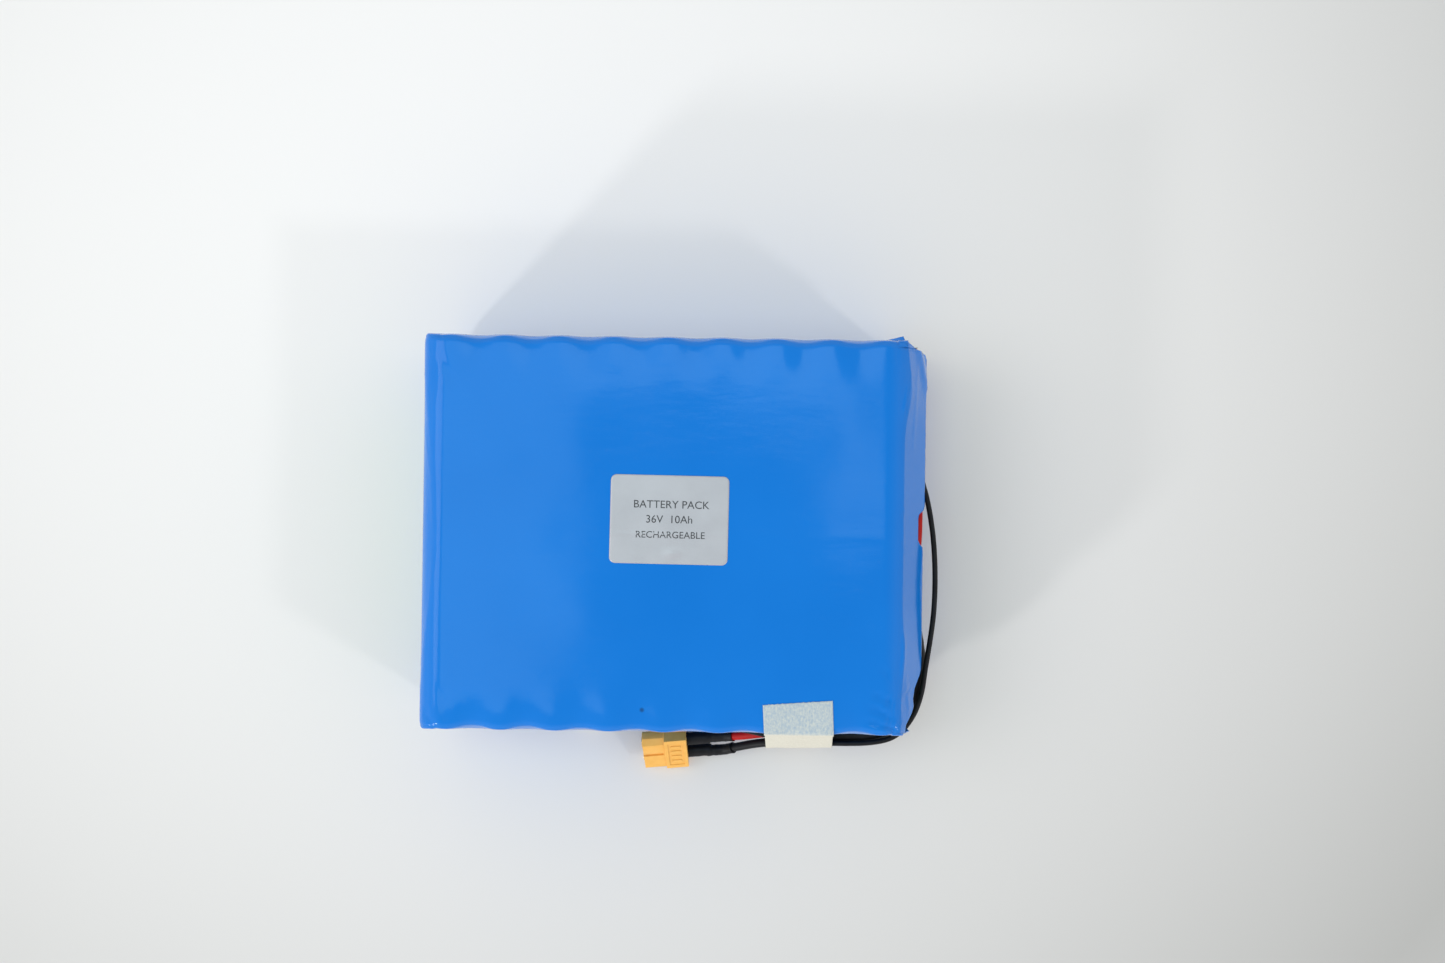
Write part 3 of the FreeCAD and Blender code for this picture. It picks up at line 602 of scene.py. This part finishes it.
def left_bend_point(around, done):
    """A point of the left bend, for done from 0 on the pack's top and sides to 1 at the lip."""
    turn = math.pi / 2 * done
    x = -HALF_LENGTH + LEFT_BEND - LEFT_BEND * math.sin(turn)
    inset = LEFT_BEND - LEFT_BEND * math.cos(turn)
    side_inset = 0.0
    if x < -HALF_LENGTH + LEFT_CORNER:
        into_corner = x + HALF_LENGTH - LEFT_CORNER
        side_inset = LEFT_CORNER - math.sqrt(max(0.0, LEFT_CORNER ** 2 - into_corner ** 2))
    y, z = section_point(around, inset, TOP - inset, HALF_WIDTH - side_inset, LONG_CORNER)
    lens = left_facet(y)
    if done > lens and z > TOP / 2 and abs(y) < LENS_HALF:
        share = (done - lens) / (1 - lens)
        across = math.sin(math.pi / 2 * lens) * (1 - share) + share
        down = math.cos(math.pi / 2 * lens) * (1 - share)
        x += (-HALF_LENGTH + LEFT_BEND - LEFT_BEND * across - x) * LENS_FLATNESS
        z += (TOP - LEFT_BEND + LEFT_BEND * down - z) * LENS_FLATNESS
    return x, y, z


def left_lip_point(around, share):
    """A point of the lip round the left window, for share from 0 at the bend to 1 at its edge."""
    low = LEFT_BEND + LIP_RISE * share
    half_y = HALF_WIDTH - LEFT_CORNER - LIP_REACH * share
    y, z = section_point(around, low, TOP - low, half_y, LONG_CORNER + 6 * share)
    ripple = LIP_RIPPLE * noise.noise(Vector((around * 40, share * 2, 0))) * share
    return -HALF_LENGTH + 0.5 * share * share + ripple, y, z


def left_end_point(around, depth):
    """A point of the left end, for depth from 0 where its bend starts to 1 at the window."""
    if depth < 1 - LIP_SHARE:
        return left_bend_point(around, depth / (1 - LIP_SHARE))
    return left_lip_point(around, (depth - 1 + LIP_SHARE) / LIP_SHARE)


def middle_point(around, along):
    """A point of the straight stretch, for along from 0 at the left bend to 1 over the last cells."""
    x = -HALF_LENGTH + LEFT_BEND + (LAST_X + HALF_LENGTH - LEFT_BEND) * along
    y, z = section_point(around, 0.0, TOP, HALF_WIDTH, LONG_CORNER)
    return x, y, z


def right_top_path(share, y):
    """The way of the film over the last column of cells and down to its free edge."""
    later = 2.3 * bell(y, 50, 9 if y < 50 else 14) + 1.2 * bell(y, -40, 9)
    last_turn = RIGHT_TURN + EXTRA_TURN * later
    if share < BEND_SHARE:
        turn = last_turn * share / BEND_SHARE
        return LAST_X + RIGHT_BEND * math.sin(turn), TOP - RIGHT_BEND + RIGHT_BEND * math.cos(turn)
    rest = (share - BEND_SHARE) / (1 - BEND_SHARE)
    facet_x = LAST_X + RIGHT_BEND * math.sin(last_turn)
    facet_z = TOP - RIGHT_BEND + RIGHT_BEND * math.cos(last_turn)
    return facet_x + (HALF_LENGTH - facet_x) * rest, facet_z + (EDGE_Z - facet_z) * rest


def right_bottom_path(share):
    """The way of the film along the underside and up to the low edge of the mouth."""
    curl_start = HALF_LENGTH - BOTTOM_CURL
    if share < FLAT_SHARE:
        return LAST_X + (curl_start - LAST_X) * share / FLAT_SHARE, 0.0
    if share < CURL_SHARE:
        turn = math.pi / 2 * (share - FLAT_SHARE) / (CURL_SHARE - FLAT_SHARE)
        return curl_start + BOTTOM_CURL * math.sin(turn), BOTTOM_CURL - BOTTOM_CURL * math.cos(turn)
    rest = (share - CURL_SHARE) / (1 - CURL_SHARE)
    return HALF_LENGTH - 0.1 * rest, BOTTOM_CURL + (MOUTH_LOW - BOTTOM_CURL) * rest


def pulled_back(y, z, on_side):
    """How much of the right end the free edge is short by, at a place round the mouth."""
    if on_side and y < 0:
        return 0.88 * smooth_step(17, 22, z) * (1 - 0.55 * smooth_step(36, 50, z))
    if on_side:
        return 0.10 + 0.56 * smooth_step(10, 18, z)
    if z < EDGE_Z - 8:
        return 0.30 * smooth_step(-50, -62, y)
    notch = 0.21 * smooth_step(-4.2, -1.2, y) * smooth_step(10.2, 7.2, y)
    south = 0.04 * smooth_step(-1, -3, y)
    bay = 0.20 * smooth_step(-51.5, -53.5, y) + 0.06 * bell(y, -57, 3.0)
    corner = 0.30 * smooth_step(-59, -65, y)
    north = 0.48 * smooth_step(64.7, 65.3, y) + 0.20 * smooth_step(65.2, 67.3, y)
    ragged = 0.012 * noise.noise(Vector((y * 0.35, 3.0, 1.0)))
    return notch + south + bay + corner + north + ragged


def right_end_point(around, share):
    """A point of the right end, for share from 0 over the last cells to 1 at its full reach."""
    y, z = section_point(around, 0.0, TOP, HALF_WIDTH, LONG_CORNER)
    on_side = smooth_step(HALF_WIDTH - 1.2, HALF_WIDTH - 0.1, abs(y))
    height = z
    if z > TOP / 2 and on_side == 0:
        height = EDGE_Z
    elif z < TOP * 0.4:
        height = EDGE_Z - 6
    share *= 1 - pulled_back(y, height, on_side > 0.5)
    top_x, top_z = right_top_path(share, y)
    low_x, low_z = right_bottom_path(share)
    x = low_x + (top_x - low_x) * smooth_step(0.1, 0.9, z / TOP)
    curl = (0.6 if y > 0 else 3.4) * smooth_step(HALF_LENGTH - 7, HALF_LENGTH, x) ** 2
    y, z = section_point(around, low_z, top_z, HALF_WIDTH - curl, LONG_CORNER + curl * 0.6)
    return x, y, z


def top_waves(x, y):
    """The slack of the top face, with the faint ridge where the two rows of cells meet."""
    ridge = 0.08 * bell(y, 0.4, 0.7) * (0.6 + 0.4 * noise.noise(Vector((x * 0.05, 0, 9))))
    wide = 0.20 + 0.18 * noise.noise(Vector((x * 0.022, y * 0.022, 2.0)))
    return ridge + wide + 0.10 * noise.noise(Vector((x * 0.05, y * 0.04, 7.0)))


def fold_depth(x, y):
    """How deep the creases and dents are at a place on the upper half."""
    depth = 0.0
    for fold_start, fold_end, half_width, deep in FOLDS:
        run = Vector(fold_end) - Vector(fold_start)
        here = Vector((x, y)) - Vector(fold_start)
        share = here.dot(run) / run.length_squared
        off = run.normalized().cross(here)
        ends = smooth_step(-0.15, 0.25, share) * smooth_step(1.15, 0.75, share)
        depth += deep * bell(off, 0, half_width) * ends
    return depth


def settled(point):
    """The film drawn in between the cells and over their ends, with its dents and creases."""
    x, y, z = point
    side = 1 if y > 0 else -1
    gap = between_cells(x)
    sway = 0.75 + 0.5 * noise.noise(Vector((x * 0.03, y * 0.02, 5.0)))
    near_side = smooth_step(44, HALF_WIDTH, abs(y))
    rim = smooth_step(HALF_WIDTH - 4.5, HALF_WIDTH - 1.5, abs(y))
    edge = smooth_step(50.5, 56.4, z) + BASE_SHARE * smooth_step(3.0, 0.3, z)
    y -= side * (SIDE_DRAW * gap * sway + EDGE_DRAW) * edge * rim
    if z > TOP - 6:
        z -= TOP_DRAW * gap ** 1.2 * sway * near_side ** 2.1
    if abs(y) > HALF_WIDTH - 1.0 and x < LAST_X + 8:
        over_layer = 0.5 + 0.5 * math.cos(2 * math.pi * (z - LOWEST_LAYER) / PITCH)
        cells_here = 1 if z > 37 else smooth_step(LAST_X - 5, LAST_X - 9, x)
        y += side * CELL_BULGE * (1 - gap) * (0.4 + 0.6 * over_layer) * cells_here
    if z > TOP - 3:
        inside = smooth_step(HALF_WIDTH - 0.8, HALF_WIDTH - 8, abs(y))
        z += top_waves(x, y) * inside * smooth_step(TOP - 3, TOP - 0.6, z)
    if x > LAST_X + 6 and z > EDGE_Z:
        x += LEAD_BULGE * bell(z, 44.5 - 0.62 * (66 - y), 3.2) * smooth_step(47, 56, y)
    if z > TOP / 2:
        z -= fold_depth(x, y)
    return Vector((x, y, z)) * MM


AROUND_COUNT = 268
LEFT_COUNT = 22
MIDDLE_COUNT = 92
RIGHT_COUNT = 44
ALONG_COUNT = LEFT_COUNT + MIDDLE_COUNT + RIGHT_COUNT


def film_piece():
    bm = bmesh.new()
    bmesh.ops.create_grid(bm, x_segments=AROUND_COUNT, y_segments=ALONG_COUNT, size=0.5)
    for vertex in bm.verts:
        around = (vertex.co.x + 0.5) % 1.0
        step = (vertex.co.y + 0.5) * ALONG_COUNT - LEFT_COUNT
        if step < 0:
            place = left_end_point(around, -step / LEFT_COUNT)
        elif step < MIDDLE_COUNT:
            place = middle_point(around, step / MIDDLE_COUNT)
        else:
            place = right_end_point(around, (step - MIDDLE_COUNT) / RIGHT_COUNT)
        vertex.co = settled(place)
    bmesh.ops.remove_doubles(bm, verts=bm.verts, dist=0.02 * MM)
    face_outwards(bm)
    film = mesh_piece("blue_shrink_film", bm)
    give_wall(film, FILM_WALL)
    finish_piece(film, "blue_film", "shrink_sleeve")


TAG_START = 67.0
TAG_LENGTH = 10.2
TAG_LOW = 48.0
TAG_TALL = 2.5
TAG_OUT = 2.3


def film_tag():
    """The corner of the film's side that stands out by the lead end."""
    bm = bmesh.new()
    bmesh.ops.create_grid(bm, x_segments=24, y_segments=10, size=0.5)
    for vertex in bm.verts:
        along, up = vertex.co.x + 0.5, 0.5 - vertex.co.y
        out = -0.3 + TAG_OUT * along ** 1.2 * (1 - up)
        x = TAG_START + (TAG_LENGTH + 0.6 * up) * along
        z = TAG_LOW + TAG_TALL * up + 0.6 * math.sin(3 * along)
        vertex.co = Vector((x, HALF_WIDTH + out, z)) * MM
    tag = mesh_piece("film_side_tag", bm)
    give_wall(tag, FILM_WALL)
    finish_piece(tag, "blue_film")


film_piece()
film_tag()


# ---------------------------------------------------------------- the label

label_low, label_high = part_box("label")
LABEL_PLACE = (label_low + label_high) / 2
LABEL_TURN = Matrix.Rotation(math.radians(-0.55), 4, "Z")
LABEL_HALF_X = 20.0 * MM
LABEL_HALF_Y = 15.0 * MM
LABEL_CORNER = 2.0 * MM
LABEL_WALL = 0.12 * MM
INK_RISE = 0.03 * MM
# The print: text, letter height, and the middle of the line across and along the label.
PRINT = [
    ("BATTERY PACK", 3.3, 0.6, 3.9),
    ("36V  10Ah", 3.3, 0.0, -1.1),
    ("RECHARGEABLE", 2.9, 0.4, -6.2),
]


def film_top(x, y):
    """The height just over the film's top face."""
    return settled((x / MM, y / MM, TOP)).z + 0.02 * MM


def on_label(x, y):
    """The height of the sticker over the film, with one trapped bubble."""
    bubble = 0.28 * bell(x, 1.2, 2.6) * bell(y, -11.4, 1.5)
    return (0.09 + bubble + 0.04 * noise.noise(Vector((x * 0.12, y * 0.12, 4.0)))) * MM


def label_piece():
    bm = bmesh.new()
    bmesh.ops.create_grid(bm, x_segments=80, y_segments=60, size=0.5)
    inner_x, inner_y = LABEL_HALF_X - LABEL_CORNER, LABEL_HALF_Y - LABEL_CORNER
    for vertex in bm.verts:
        x, y = vertex.co.x * 2 * LABEL_HALF_X, vertex.co.y * 2 * LABEL_HALF_Y
        over_x, over_y = abs(x) - inner_x, abs(y) - inner_y
        if over_x > 0 and over_y > 0:
            away = max(over_x, over_y) / math.hypot(over_x, over_y)
            x = math.copysign(inner_x + over_x * away, x)
            y = math.copysign(inner_y + over_y * away, y)
        vertex.co = (x, y, on_label(x / MM, y / MM))
    edge = bmesh.ops.extrude_face_region(bm, geom=bm.faces[:])
    lower = [item for item in edge["geom"] if isinstance(item, bmesh.types.BMVert)]
    bmesh.ops.translate(bm, verts=lower, vec=(0, 0, -LABEL_WALL))
    bmesh.ops.recalc_face_normals(bm, faces=bm.faces)
    bmesh.ops.transform(bm, matrix=LABEL_TURN, verts=bm.verts)
    for vertex in bm.verts:
        x, y = vertex.co.x + LABEL_PLACE.x, vertex.co.y + LABEL_PLACE.y
        vertex.co = (x, y, vertex.co.z + film_top(x, y))
    finish_piece(mesh_piece("silver_label", bm), "silver_label", "label")


def print_line(text, height, middle_x, middle_y):
    """One line of print as a flat mesh that lies on the label."""
    data = bpy.data.curves.new("print", "FONT")
    data.body = text
    data.size = height * MM * 1.12
    data.align_x = "CENTER"
    data.resolution_u = 4
    writing = link(bpy.data.objects.new("print", data))
    mesh = bpy.data.meshes.new_from_object(writing)
    bpy.data.objects.remove(writing)
    for vertex in mesh.vertices:
        flat = Vector((vertex.co.x + middle_x * MM, vertex.co.y + middle_y * MM, 0))
        rise = on_label(flat.x / MM, flat.y / MM) + INK_RISE
        turned = LABEL_TURN @ flat
        x, y = turned.x + LABEL_PLACE.x, turned.y + LABEL_PLACE.y
        vertex.co = (x, y, film_top(x, y) + rise)
    return mesh


def label_print_piece():
    bm = bmesh.new()
    for line in PRINT:
        bm.from_mesh(print_line(*line))
    piece = finish_piece(mesh_piece("label_print", bm), "silver_label", smooth=False)
    piece.data.materials[0] = ink_finish()


label_piece()
label_print_piece()


# ---------------------------------------------------------------- the masking tape

# From the top face down over the edge, out over the leads and back under them to the film.
TAPE_SECTION = [
    (-56.0, TOP + 0.27),
    (-64.5, TOP + 0.25),
    (-67.4, TOP - 0.3),
    (-67.9, TOP - 4.5),
    (-68.4, 46.0),
    (-73.4, 35.5),
    (-76.9, 27.5),
    (-78.1, 19.5),
    (-77.8, 14.0),
    (-75.0, 12.0),
    (-69.6, 10.6),
    (-68.2, 6.5),
    (-68.0, 3.2),
]
TAPE_WIDTH = 23.6
TAPE_WALL = 0.16
TAPE_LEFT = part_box("masking_tape")[0].x / MM - 0.8
# The strip was laid on at a slant: its sideways shift, and the length over which it shifts.
TAPE_SHIFT = 2.4
TAPE_SHIFT_LENGTH = 45.0
TAPE_LEAN = 1.8
TAPE_LEAN_LENGTH = 10.0
STUCK_ABOVE = 46.0


def tape_height(x, y, z, crepe):
    """The height of the tape, which lies on the film on the top face."""
    if z > TOP - 0.4:
        z = max(z, settled((x, y, TOP)).z / MM + 0.2)
    return z + crepe if z > 50 else z


def tape_point(sideways, reach, place, first_row):
    """Where a point of the tape goes, from its place on the strip and the section's point there."""
    y, z = place.y / MM, place.z / MM
    x = TAPE_LEFT + sideways + TAPE_SHIFT * min(1.0, reach / TAPE_SHIFT_LENGTH)
    if first_row:
        y += 0.35 * noise.noise(Vector((sideways * 1.7, 0.0, 2.0)))
    y += TAPE_LEAN * (sideways / TAPE_WIDTH - 0.5) * max(0.0, 1 - reach / TAPE_LEAN_LENGTH)
    if z < STUCK_ABOVE:
        y -= 0.20 * noise.noise(Vector((sideways * 0.16, reach * 0.11, 8.0)))
    y += 0.35 * sideways / TAPE_WIDTH * smooth_step(46, 27, z) * smooth_step(7, 12, z)
    over_lead = 1.1 * (1 - smooth_step(2.0, 9.0, sideways)) * bell(z, 15.6, 3.2)
    y -= over_lead
    crepe = 0.05 * noise.noise(Vector((sideways * 0.9, reach * 3.0, 0.0)))
    return Vector((x, y, tape_height(x, y, z, crepe))) * MM


def tape_piece():
    section = centreline("tape_line", [Vector((0, y, z)) * MM for y, z in TAPE_SECTION])
    lengths = [0.0]
    for before, after in zip(section, section[1:]):
        lengths.append(lengths[-1] + (after - before).length)
    bm = bmesh.new()
    bmesh.ops.create_grid(bm, x_segments=60, y_segments=170, size=0.5)
    for vertex in bm.verts:
        reach = (0.5 - vertex.co.y) * lengths[-1]
        number = next(i for i in range(1, len(lengths)) if reach <= lengths[i] + 1e-9)
        part = (reach - lengths[number - 1]) / (lengths[number] - lengths[number - 1])
        place = section[number - 1].lerp(section[number], part)
        sideways = (vertex.co.x + 0.5) * TAPE_WIDTH
        vertex.co = tape_point(sideways, reach / MM, place, vertex.co.y > 0.495)
    face_outwards(bm)
    tape = mesh_piece("crepe_tape_strip", bm)
    give_wall(tape, TAPE_WALL)
    return finish_piece(tape, "crepe_tape", "masking_tape")


tape = tape_piece()


# ---------------------------------------------------------------- sleeve and boots


RING_SIDES = 32


def swept(name, line, radius_at, rough):
    """A tube of rings along a line, whose radius changes with the distance along it."""
    bm = bmesh.new()
    travelled, previous, rings = 0.0, None, []
    for number, place in enumerate(line):
        ahead = line[min(number + 1, len(line) - 1)] - line[max(number - 1, 0)]
        if previous is not None:
            travelled += (place - previous).length
        previous = place
        upright = ahead.normalized().to_track_quat("Z", "Y").to_matrix().to_4x4()
        ring = bmesh.ops.create_circle(bm, segments=RING_SIDES, radius=1.0)["verts"]
        for vertex in ring:
            out = upright @ vertex.co
            wrinkle = rough * noise.noise(Vector((out.x * 1.3, out.y * 1.3, travelled / MM * 0.8)))
            vertex.co = place + out * (radius_at(travelled / MM) + wrinkle) * MM
        rings.append([edge for vertex in ring for edge in vertex.link_edges])
    for first, second in zip(rings, rings[1:]):
        bmesh.ops.bridge_loops(bm, edges=list(set(first + second)))
    bmesh.ops.recalc_face_normals(bm, faces=bm.faces)
    return mesh_piece(name, bm)


def resampled(line, step):
    """The same line with points about a step apart."""
    total = line_length(line)
    count = max(2, round(total / step))
    points, walked, number = [line[0]], 0.0, 0
    for share in range(1, count):
        goal = total * share / count
        while walked + (line[number + 1] - line[number]).length < goal:
            walked += (line[number + 1] - line[number]).length
            number += 1
        span = (line[number + 1] - line[number]).length
        points.append(line[number].lerp(line[number + 1], (goal - walked) / span))
    return points + [line[-1]]


SLEEVE_WALL = 0.3
BOOT_WALL = 0.18
BOOT_LENGTH = 17.4
NECK_RADIUS = 1.98
OVER_CUP = 0.38
CUP_END = 7.2


def sleeve_radius(distance):
    """The same all along."""
    return SLEEVE_RADIUS / MM - 0.05


def boot_radius(distance):
    """Wide over the solder cup, narrow over the lead, with a rolled lip at each end."""
    neck = 1 - smooth_step(7.9, 9.3, distance)
    lip = 0.06 * bell(distance, 0.4, 0.5) + 0.08 * bell(distance, 17.3, 0.6)
    return NECK_RADIUS + OVER_CUP * neck + lip + 0.07 * bell(distance, 10.6, 0.9)


def sleeve_piece():
    sleeve = swept("black_lead_sleeve", resampled(sleeve_line, 1.0 * MM), sleeve_radius, rough=0.10)
    give_wall(sleeve, SLEEVE_WALL)
    return finish_piece(sleeve, "black_heat_shrink", "lead_sleeve")


def boot_piece(name, lead_line, side, node):
    """Heat-shrink that runs straight over the solder cup and then follows the lead."""
    start = cup_point(side, 0.1)
    cup_end = cup_point(side, CUP_END)
    beyond_cup = [point for point in lead_line[::-1] if (point - cup_end).dot(REARWARD) > 1.4 * MM]
    kept = [start]
    for point in [cup_end] + beyond_cup:
        if line_length(kept) > BOOT_LENGTH * MM:
            break
        if (point - kept[-1]).length > 0.3 * MM:
            kept.append(point)
    boot = swept(name, resampled(kept, 0.45 * MM), boot_radius, rough=0.09)
    give_wall(boot, BOOT_WALL)
    return finish_piece(boot, "black_heat_shrink", node)


sleeve = sleeve_piece()
red_boot = boot_piece("red_lead_boot", positive_line, 1, "positive_boot")
black_boot = boot_piece("black_lead_boot", negative_line, -1, "negative_boot")


# ---------------------------------------------------------------- connector and plug


EDGE_ANGLE = math.radians(35.0)
BAR_COUNT = 4
BAR_SIZE = Vector((3.6, 1.1, 0.3)) * MM
BAR_PITCH = 2.7
BAR_EDGE = 0.12
# The middle of the bars in front of the rear face, and their height above the connector's axis.
BAR_FORWARD = 4.1
BAR_HEIGHT = 3.85


def softened_copy(node, name, slot, width):
    """A copy of a CAD node with its doubles merged and its edges rounded."""
    bm = bmesh.new()
    bm.from_mesh(nodes[node].data)
    bmesh.ops.remove_doubles(bm, verts=bm.verts, dist=0.002 * MM)
    bmesh.ops.dissolve_limit(bm, angle_limit=math.radians(1.0), verts=bm.verts, edges=bm.edges)
    piece = mesh_piece(name, bm)
    rounding = piece.modifiers.new("rounding", "BEVEL")
    rounding.width = width * MM
    rounding.segments = 2
    rounding.limit_method = "ANGLE"
    rounding.angle_limit = EDGE_ANGLE
    rounding.harden_normals = True
    finish_piece(piece, slot, node)
    piece.data.set_sharp_from_angle(angle=EDGE_ANGLE)
    return piece


def connector_matrix():
    """From the connector's own axes (x to the front, y across, z out of its upper face) to the pack's."""
    turned = Matrix((-REARWARD, -WIDTH_AXIS, FACE_AXIS)).transposed().to_4x4()
    turned.translation = REAR_CENTRE
    return turned


def window_ribs():
    """Plain raised bars in the recess of the connector's upper face."""
    bm = bmesh.new()
    for number in range(BAR_COUNT):
        across = (number - (BAR_COUNT - 1) / 2) * BAR_PITCH
        made = bmesh.ops.create_cube(bm, size=1.0)["verts"]
        bmesh.ops.scale(bm, vec=BAR_SIZE, verts=made)
        bmesh.ops.translate(bm, vec=Vector((BAR_FORWARD, across, BAR_HEIGHT)) * MM, verts=made)
    rounded = {"offset": BAR_EDGE * MM, "segments": 2, "profile": 0.5, "affect": "EDGES", "material": -1}
    bmesh.ops.bevel(bm, geom=bm.edges[:], **rounded)
    bmesh.ops.transform(bm, matrix=connector_matrix(), verts=bm.verts)
    return finish_piece(mesh_piece("connector_grip_bars", bm), "yellow_nylon", smooth=False)


housing = softened_copy("connector_housing", "yellow_connector", "yellow_nylon", 0.28)
ribs = window_ribs()
red_contact = softened_copy("positive_contact", "positive_socket_contact", "gold_plate", 0.12)
black_contact = softened_copy("negative_contact", "negative_socket_contact", "gold_plate", 0.12)
plug = softened_copy("sense_plug", "white_two_pole_plug", "white_nylon", 0.25)

finish_piece(positive_lead, "red_silicone", "positive_lead")
finish_piece(negative_lead, "black_silicone", "negative_lead")
finish_piece(sense_lead, "black_silicone", "sense_lead")


# ---------------------------------------------------------------- floor and light


FLOOR_HALF = 3.0
# Painted light on the floor: its colour is painted brightest beyond the pack and painted darker towards its
# far corners, in place of the fall-off of the light across it.
PAINTED_BRIGHT_SIDE = (-0.28, 0.60, 0)
PAINTED_FALL_OFF = (-2.0, -2.0, 0)
PAINTED_FALLOFF_STOPS = [(0.0, (0.62, 0.60, 0.59)), (0.43, (0.465, 0.455, 0.44)), (1.0, (0.885, 0.862, 0.850))]
CEILING_HEIGHT = 2.0
CEILING_COLOR = (0.62, 0.96, 1.0)
SKY_STOPS = [
    (0.0, (1, 1, 1)),
    (0.72, (0.86, 0.86, 0.87)),
    (0.94, (0.30, 0.30, 0.31)),
    (1.0, (0.16, 0.16, 0.17)),
]
SKY_STRENGTH = 1.04


def painted_falloff_floor_finish():
    """Pale board, faintly clouded, with painted light: its tone follows a slope and the square of the
    distance, standing in for the fall-off of the light across the floor.
    """
    material, tree, shader = new_material("pale_floor_painted_falloff")
    vector = place_on(tree)
    cloud = noise_node(tree, vector, 3.0, 3.0)
    slope = tree.nodes.new("ShaderNodeVectorMath")
    slope.operation = "MULTIPLY_ADD"
    slope.inputs[1].default_value = PAINTED_FALL_OFF
    slope.inputs[2].default_value = PAINTED_BRIGHT_SIDE
    tree.links.new(vector, slope.inputs[0])
    slant = tree.nodes.new("ShaderNodeVectorMath")
    slant.operation = "DOT_PRODUCT"
    tree.links.new(vector, slant.inputs[0])
    tree.links.new(slope.outputs["Vector"], slant.inputs[1])
    shade = tree.nodes.new("ShaderNodeMath")
    shade.operation = "MULTIPLY_ADD"
    shade.inputs[1].default_value = 0.02
    tree.links.new(cloud, shade.inputs[0])
    tree.links.new(slant.outputs["Value"], shade.inputs[2])
    # Painted light: this ramp paints the floor lighter beyond the pack and darker towards its far corners.
    spread = to_range(tree, shade.outputs["Value"], 0.0, 1.0, -0.70, 0.10)
    tree.links.new(ramp(tree, spread, PAINTED_FALLOFF_STOPS), shader.inputs["Base Color"])
    shader.inputs["Roughness"].default_value = 0.75
    shader.inputs["Specular IOR Level"].default_value = 0.1
    return material


def floor_piece():
    bm = bmesh.new()
    bmesh.ops.create_grid(bm, x_segments=1, y_segments=1, size=FLOOR_HALF)
    floor = mesh_piece("floor", bm)
    floor.data.materials.append(painted_falloff_floor_finish())


def area_light(name, direction, elevation, distance, size, power):
    """A soft round light that points at the pack, from a direction in degrees round from +X."""
    data = bpy.data.lights.new(name, "AREA")
    data.shape = "DISK"
    data.size = size
    data.energy = power
    light = link(bpy.data.objects.new(name, data))
    flat = distance * math.cos(math.radians(elevation))
    height = distance * math.sin(math.radians(elevation))
    bearing = math.radians(direction)
    light.location = (flat * math.cos(bearing), flat * math.sin(bearing), height)
    light.rotation_euler = (-light.location).to_track_quat("-Z", "Y").to_euler()


def ceiling_panel(name, low, high, power):
    """A soft rectangle overhead that the film's top face mirrors."""
    data = bpy.data.lights.new(name, "AREA")
    data.shape = "RECTANGLE"
    data.size = high[0] - low[0]
    data.size_y = high[1] - low[1]
    data.energy = power
    data.color = CEILING_COLOR
    panel = link(bpy.data.objects.new(name, data))
    panel.location = ((low[0] + high[0]) / 2, (low[1] + high[1]) / 2, CEILING_HEIGHT)


def studio_world():
    """Even light that is brightest at the horizon and dim overhead."""
    world = bpy.data.worlds.new("studio")
    bpy.context.scene.world = world
    world.use_nodes = True
    tree = world.node_tree
    direction = tree.nodes.new("ShaderNodeTexCoord")
    parts = tree.nodes.new("ShaderNodeSeparateXYZ")
    tree.links.new(direction.outputs["Generated"], parts.inputs["Vector"])
    background = tree.nodes["Background"]
    tree.links.new(ramp(tree, parts.outputs["Z"], SKY_STOPS), background.inputs["Color"])
    background.inputs["Strength"].default_value = SKY_STRENGTH


floor_piece()
area_light("south_west_light", -136, 24, 1.7, 0.17, 7.6)
area_light("south_east_light", -34, 37, 1.7, 0.17, 3.4)
ceiling_panel("left_panel", (-0.80, -0.50), (-0.25, 0.70), 4.0)
ceiling_panel("upper_panel", (-0.25, 0.15), (0.26, 0.70), 2.3)
ceiling_panel("right_panel", (0.20, -0.10), (0.30, 0.15), 0.20)
area_light("west_fill", 172, 48, 1.6, 0.9, 4.2)
studio_world()
bpy.context.scene.view_settings.view_transform = "Standard"
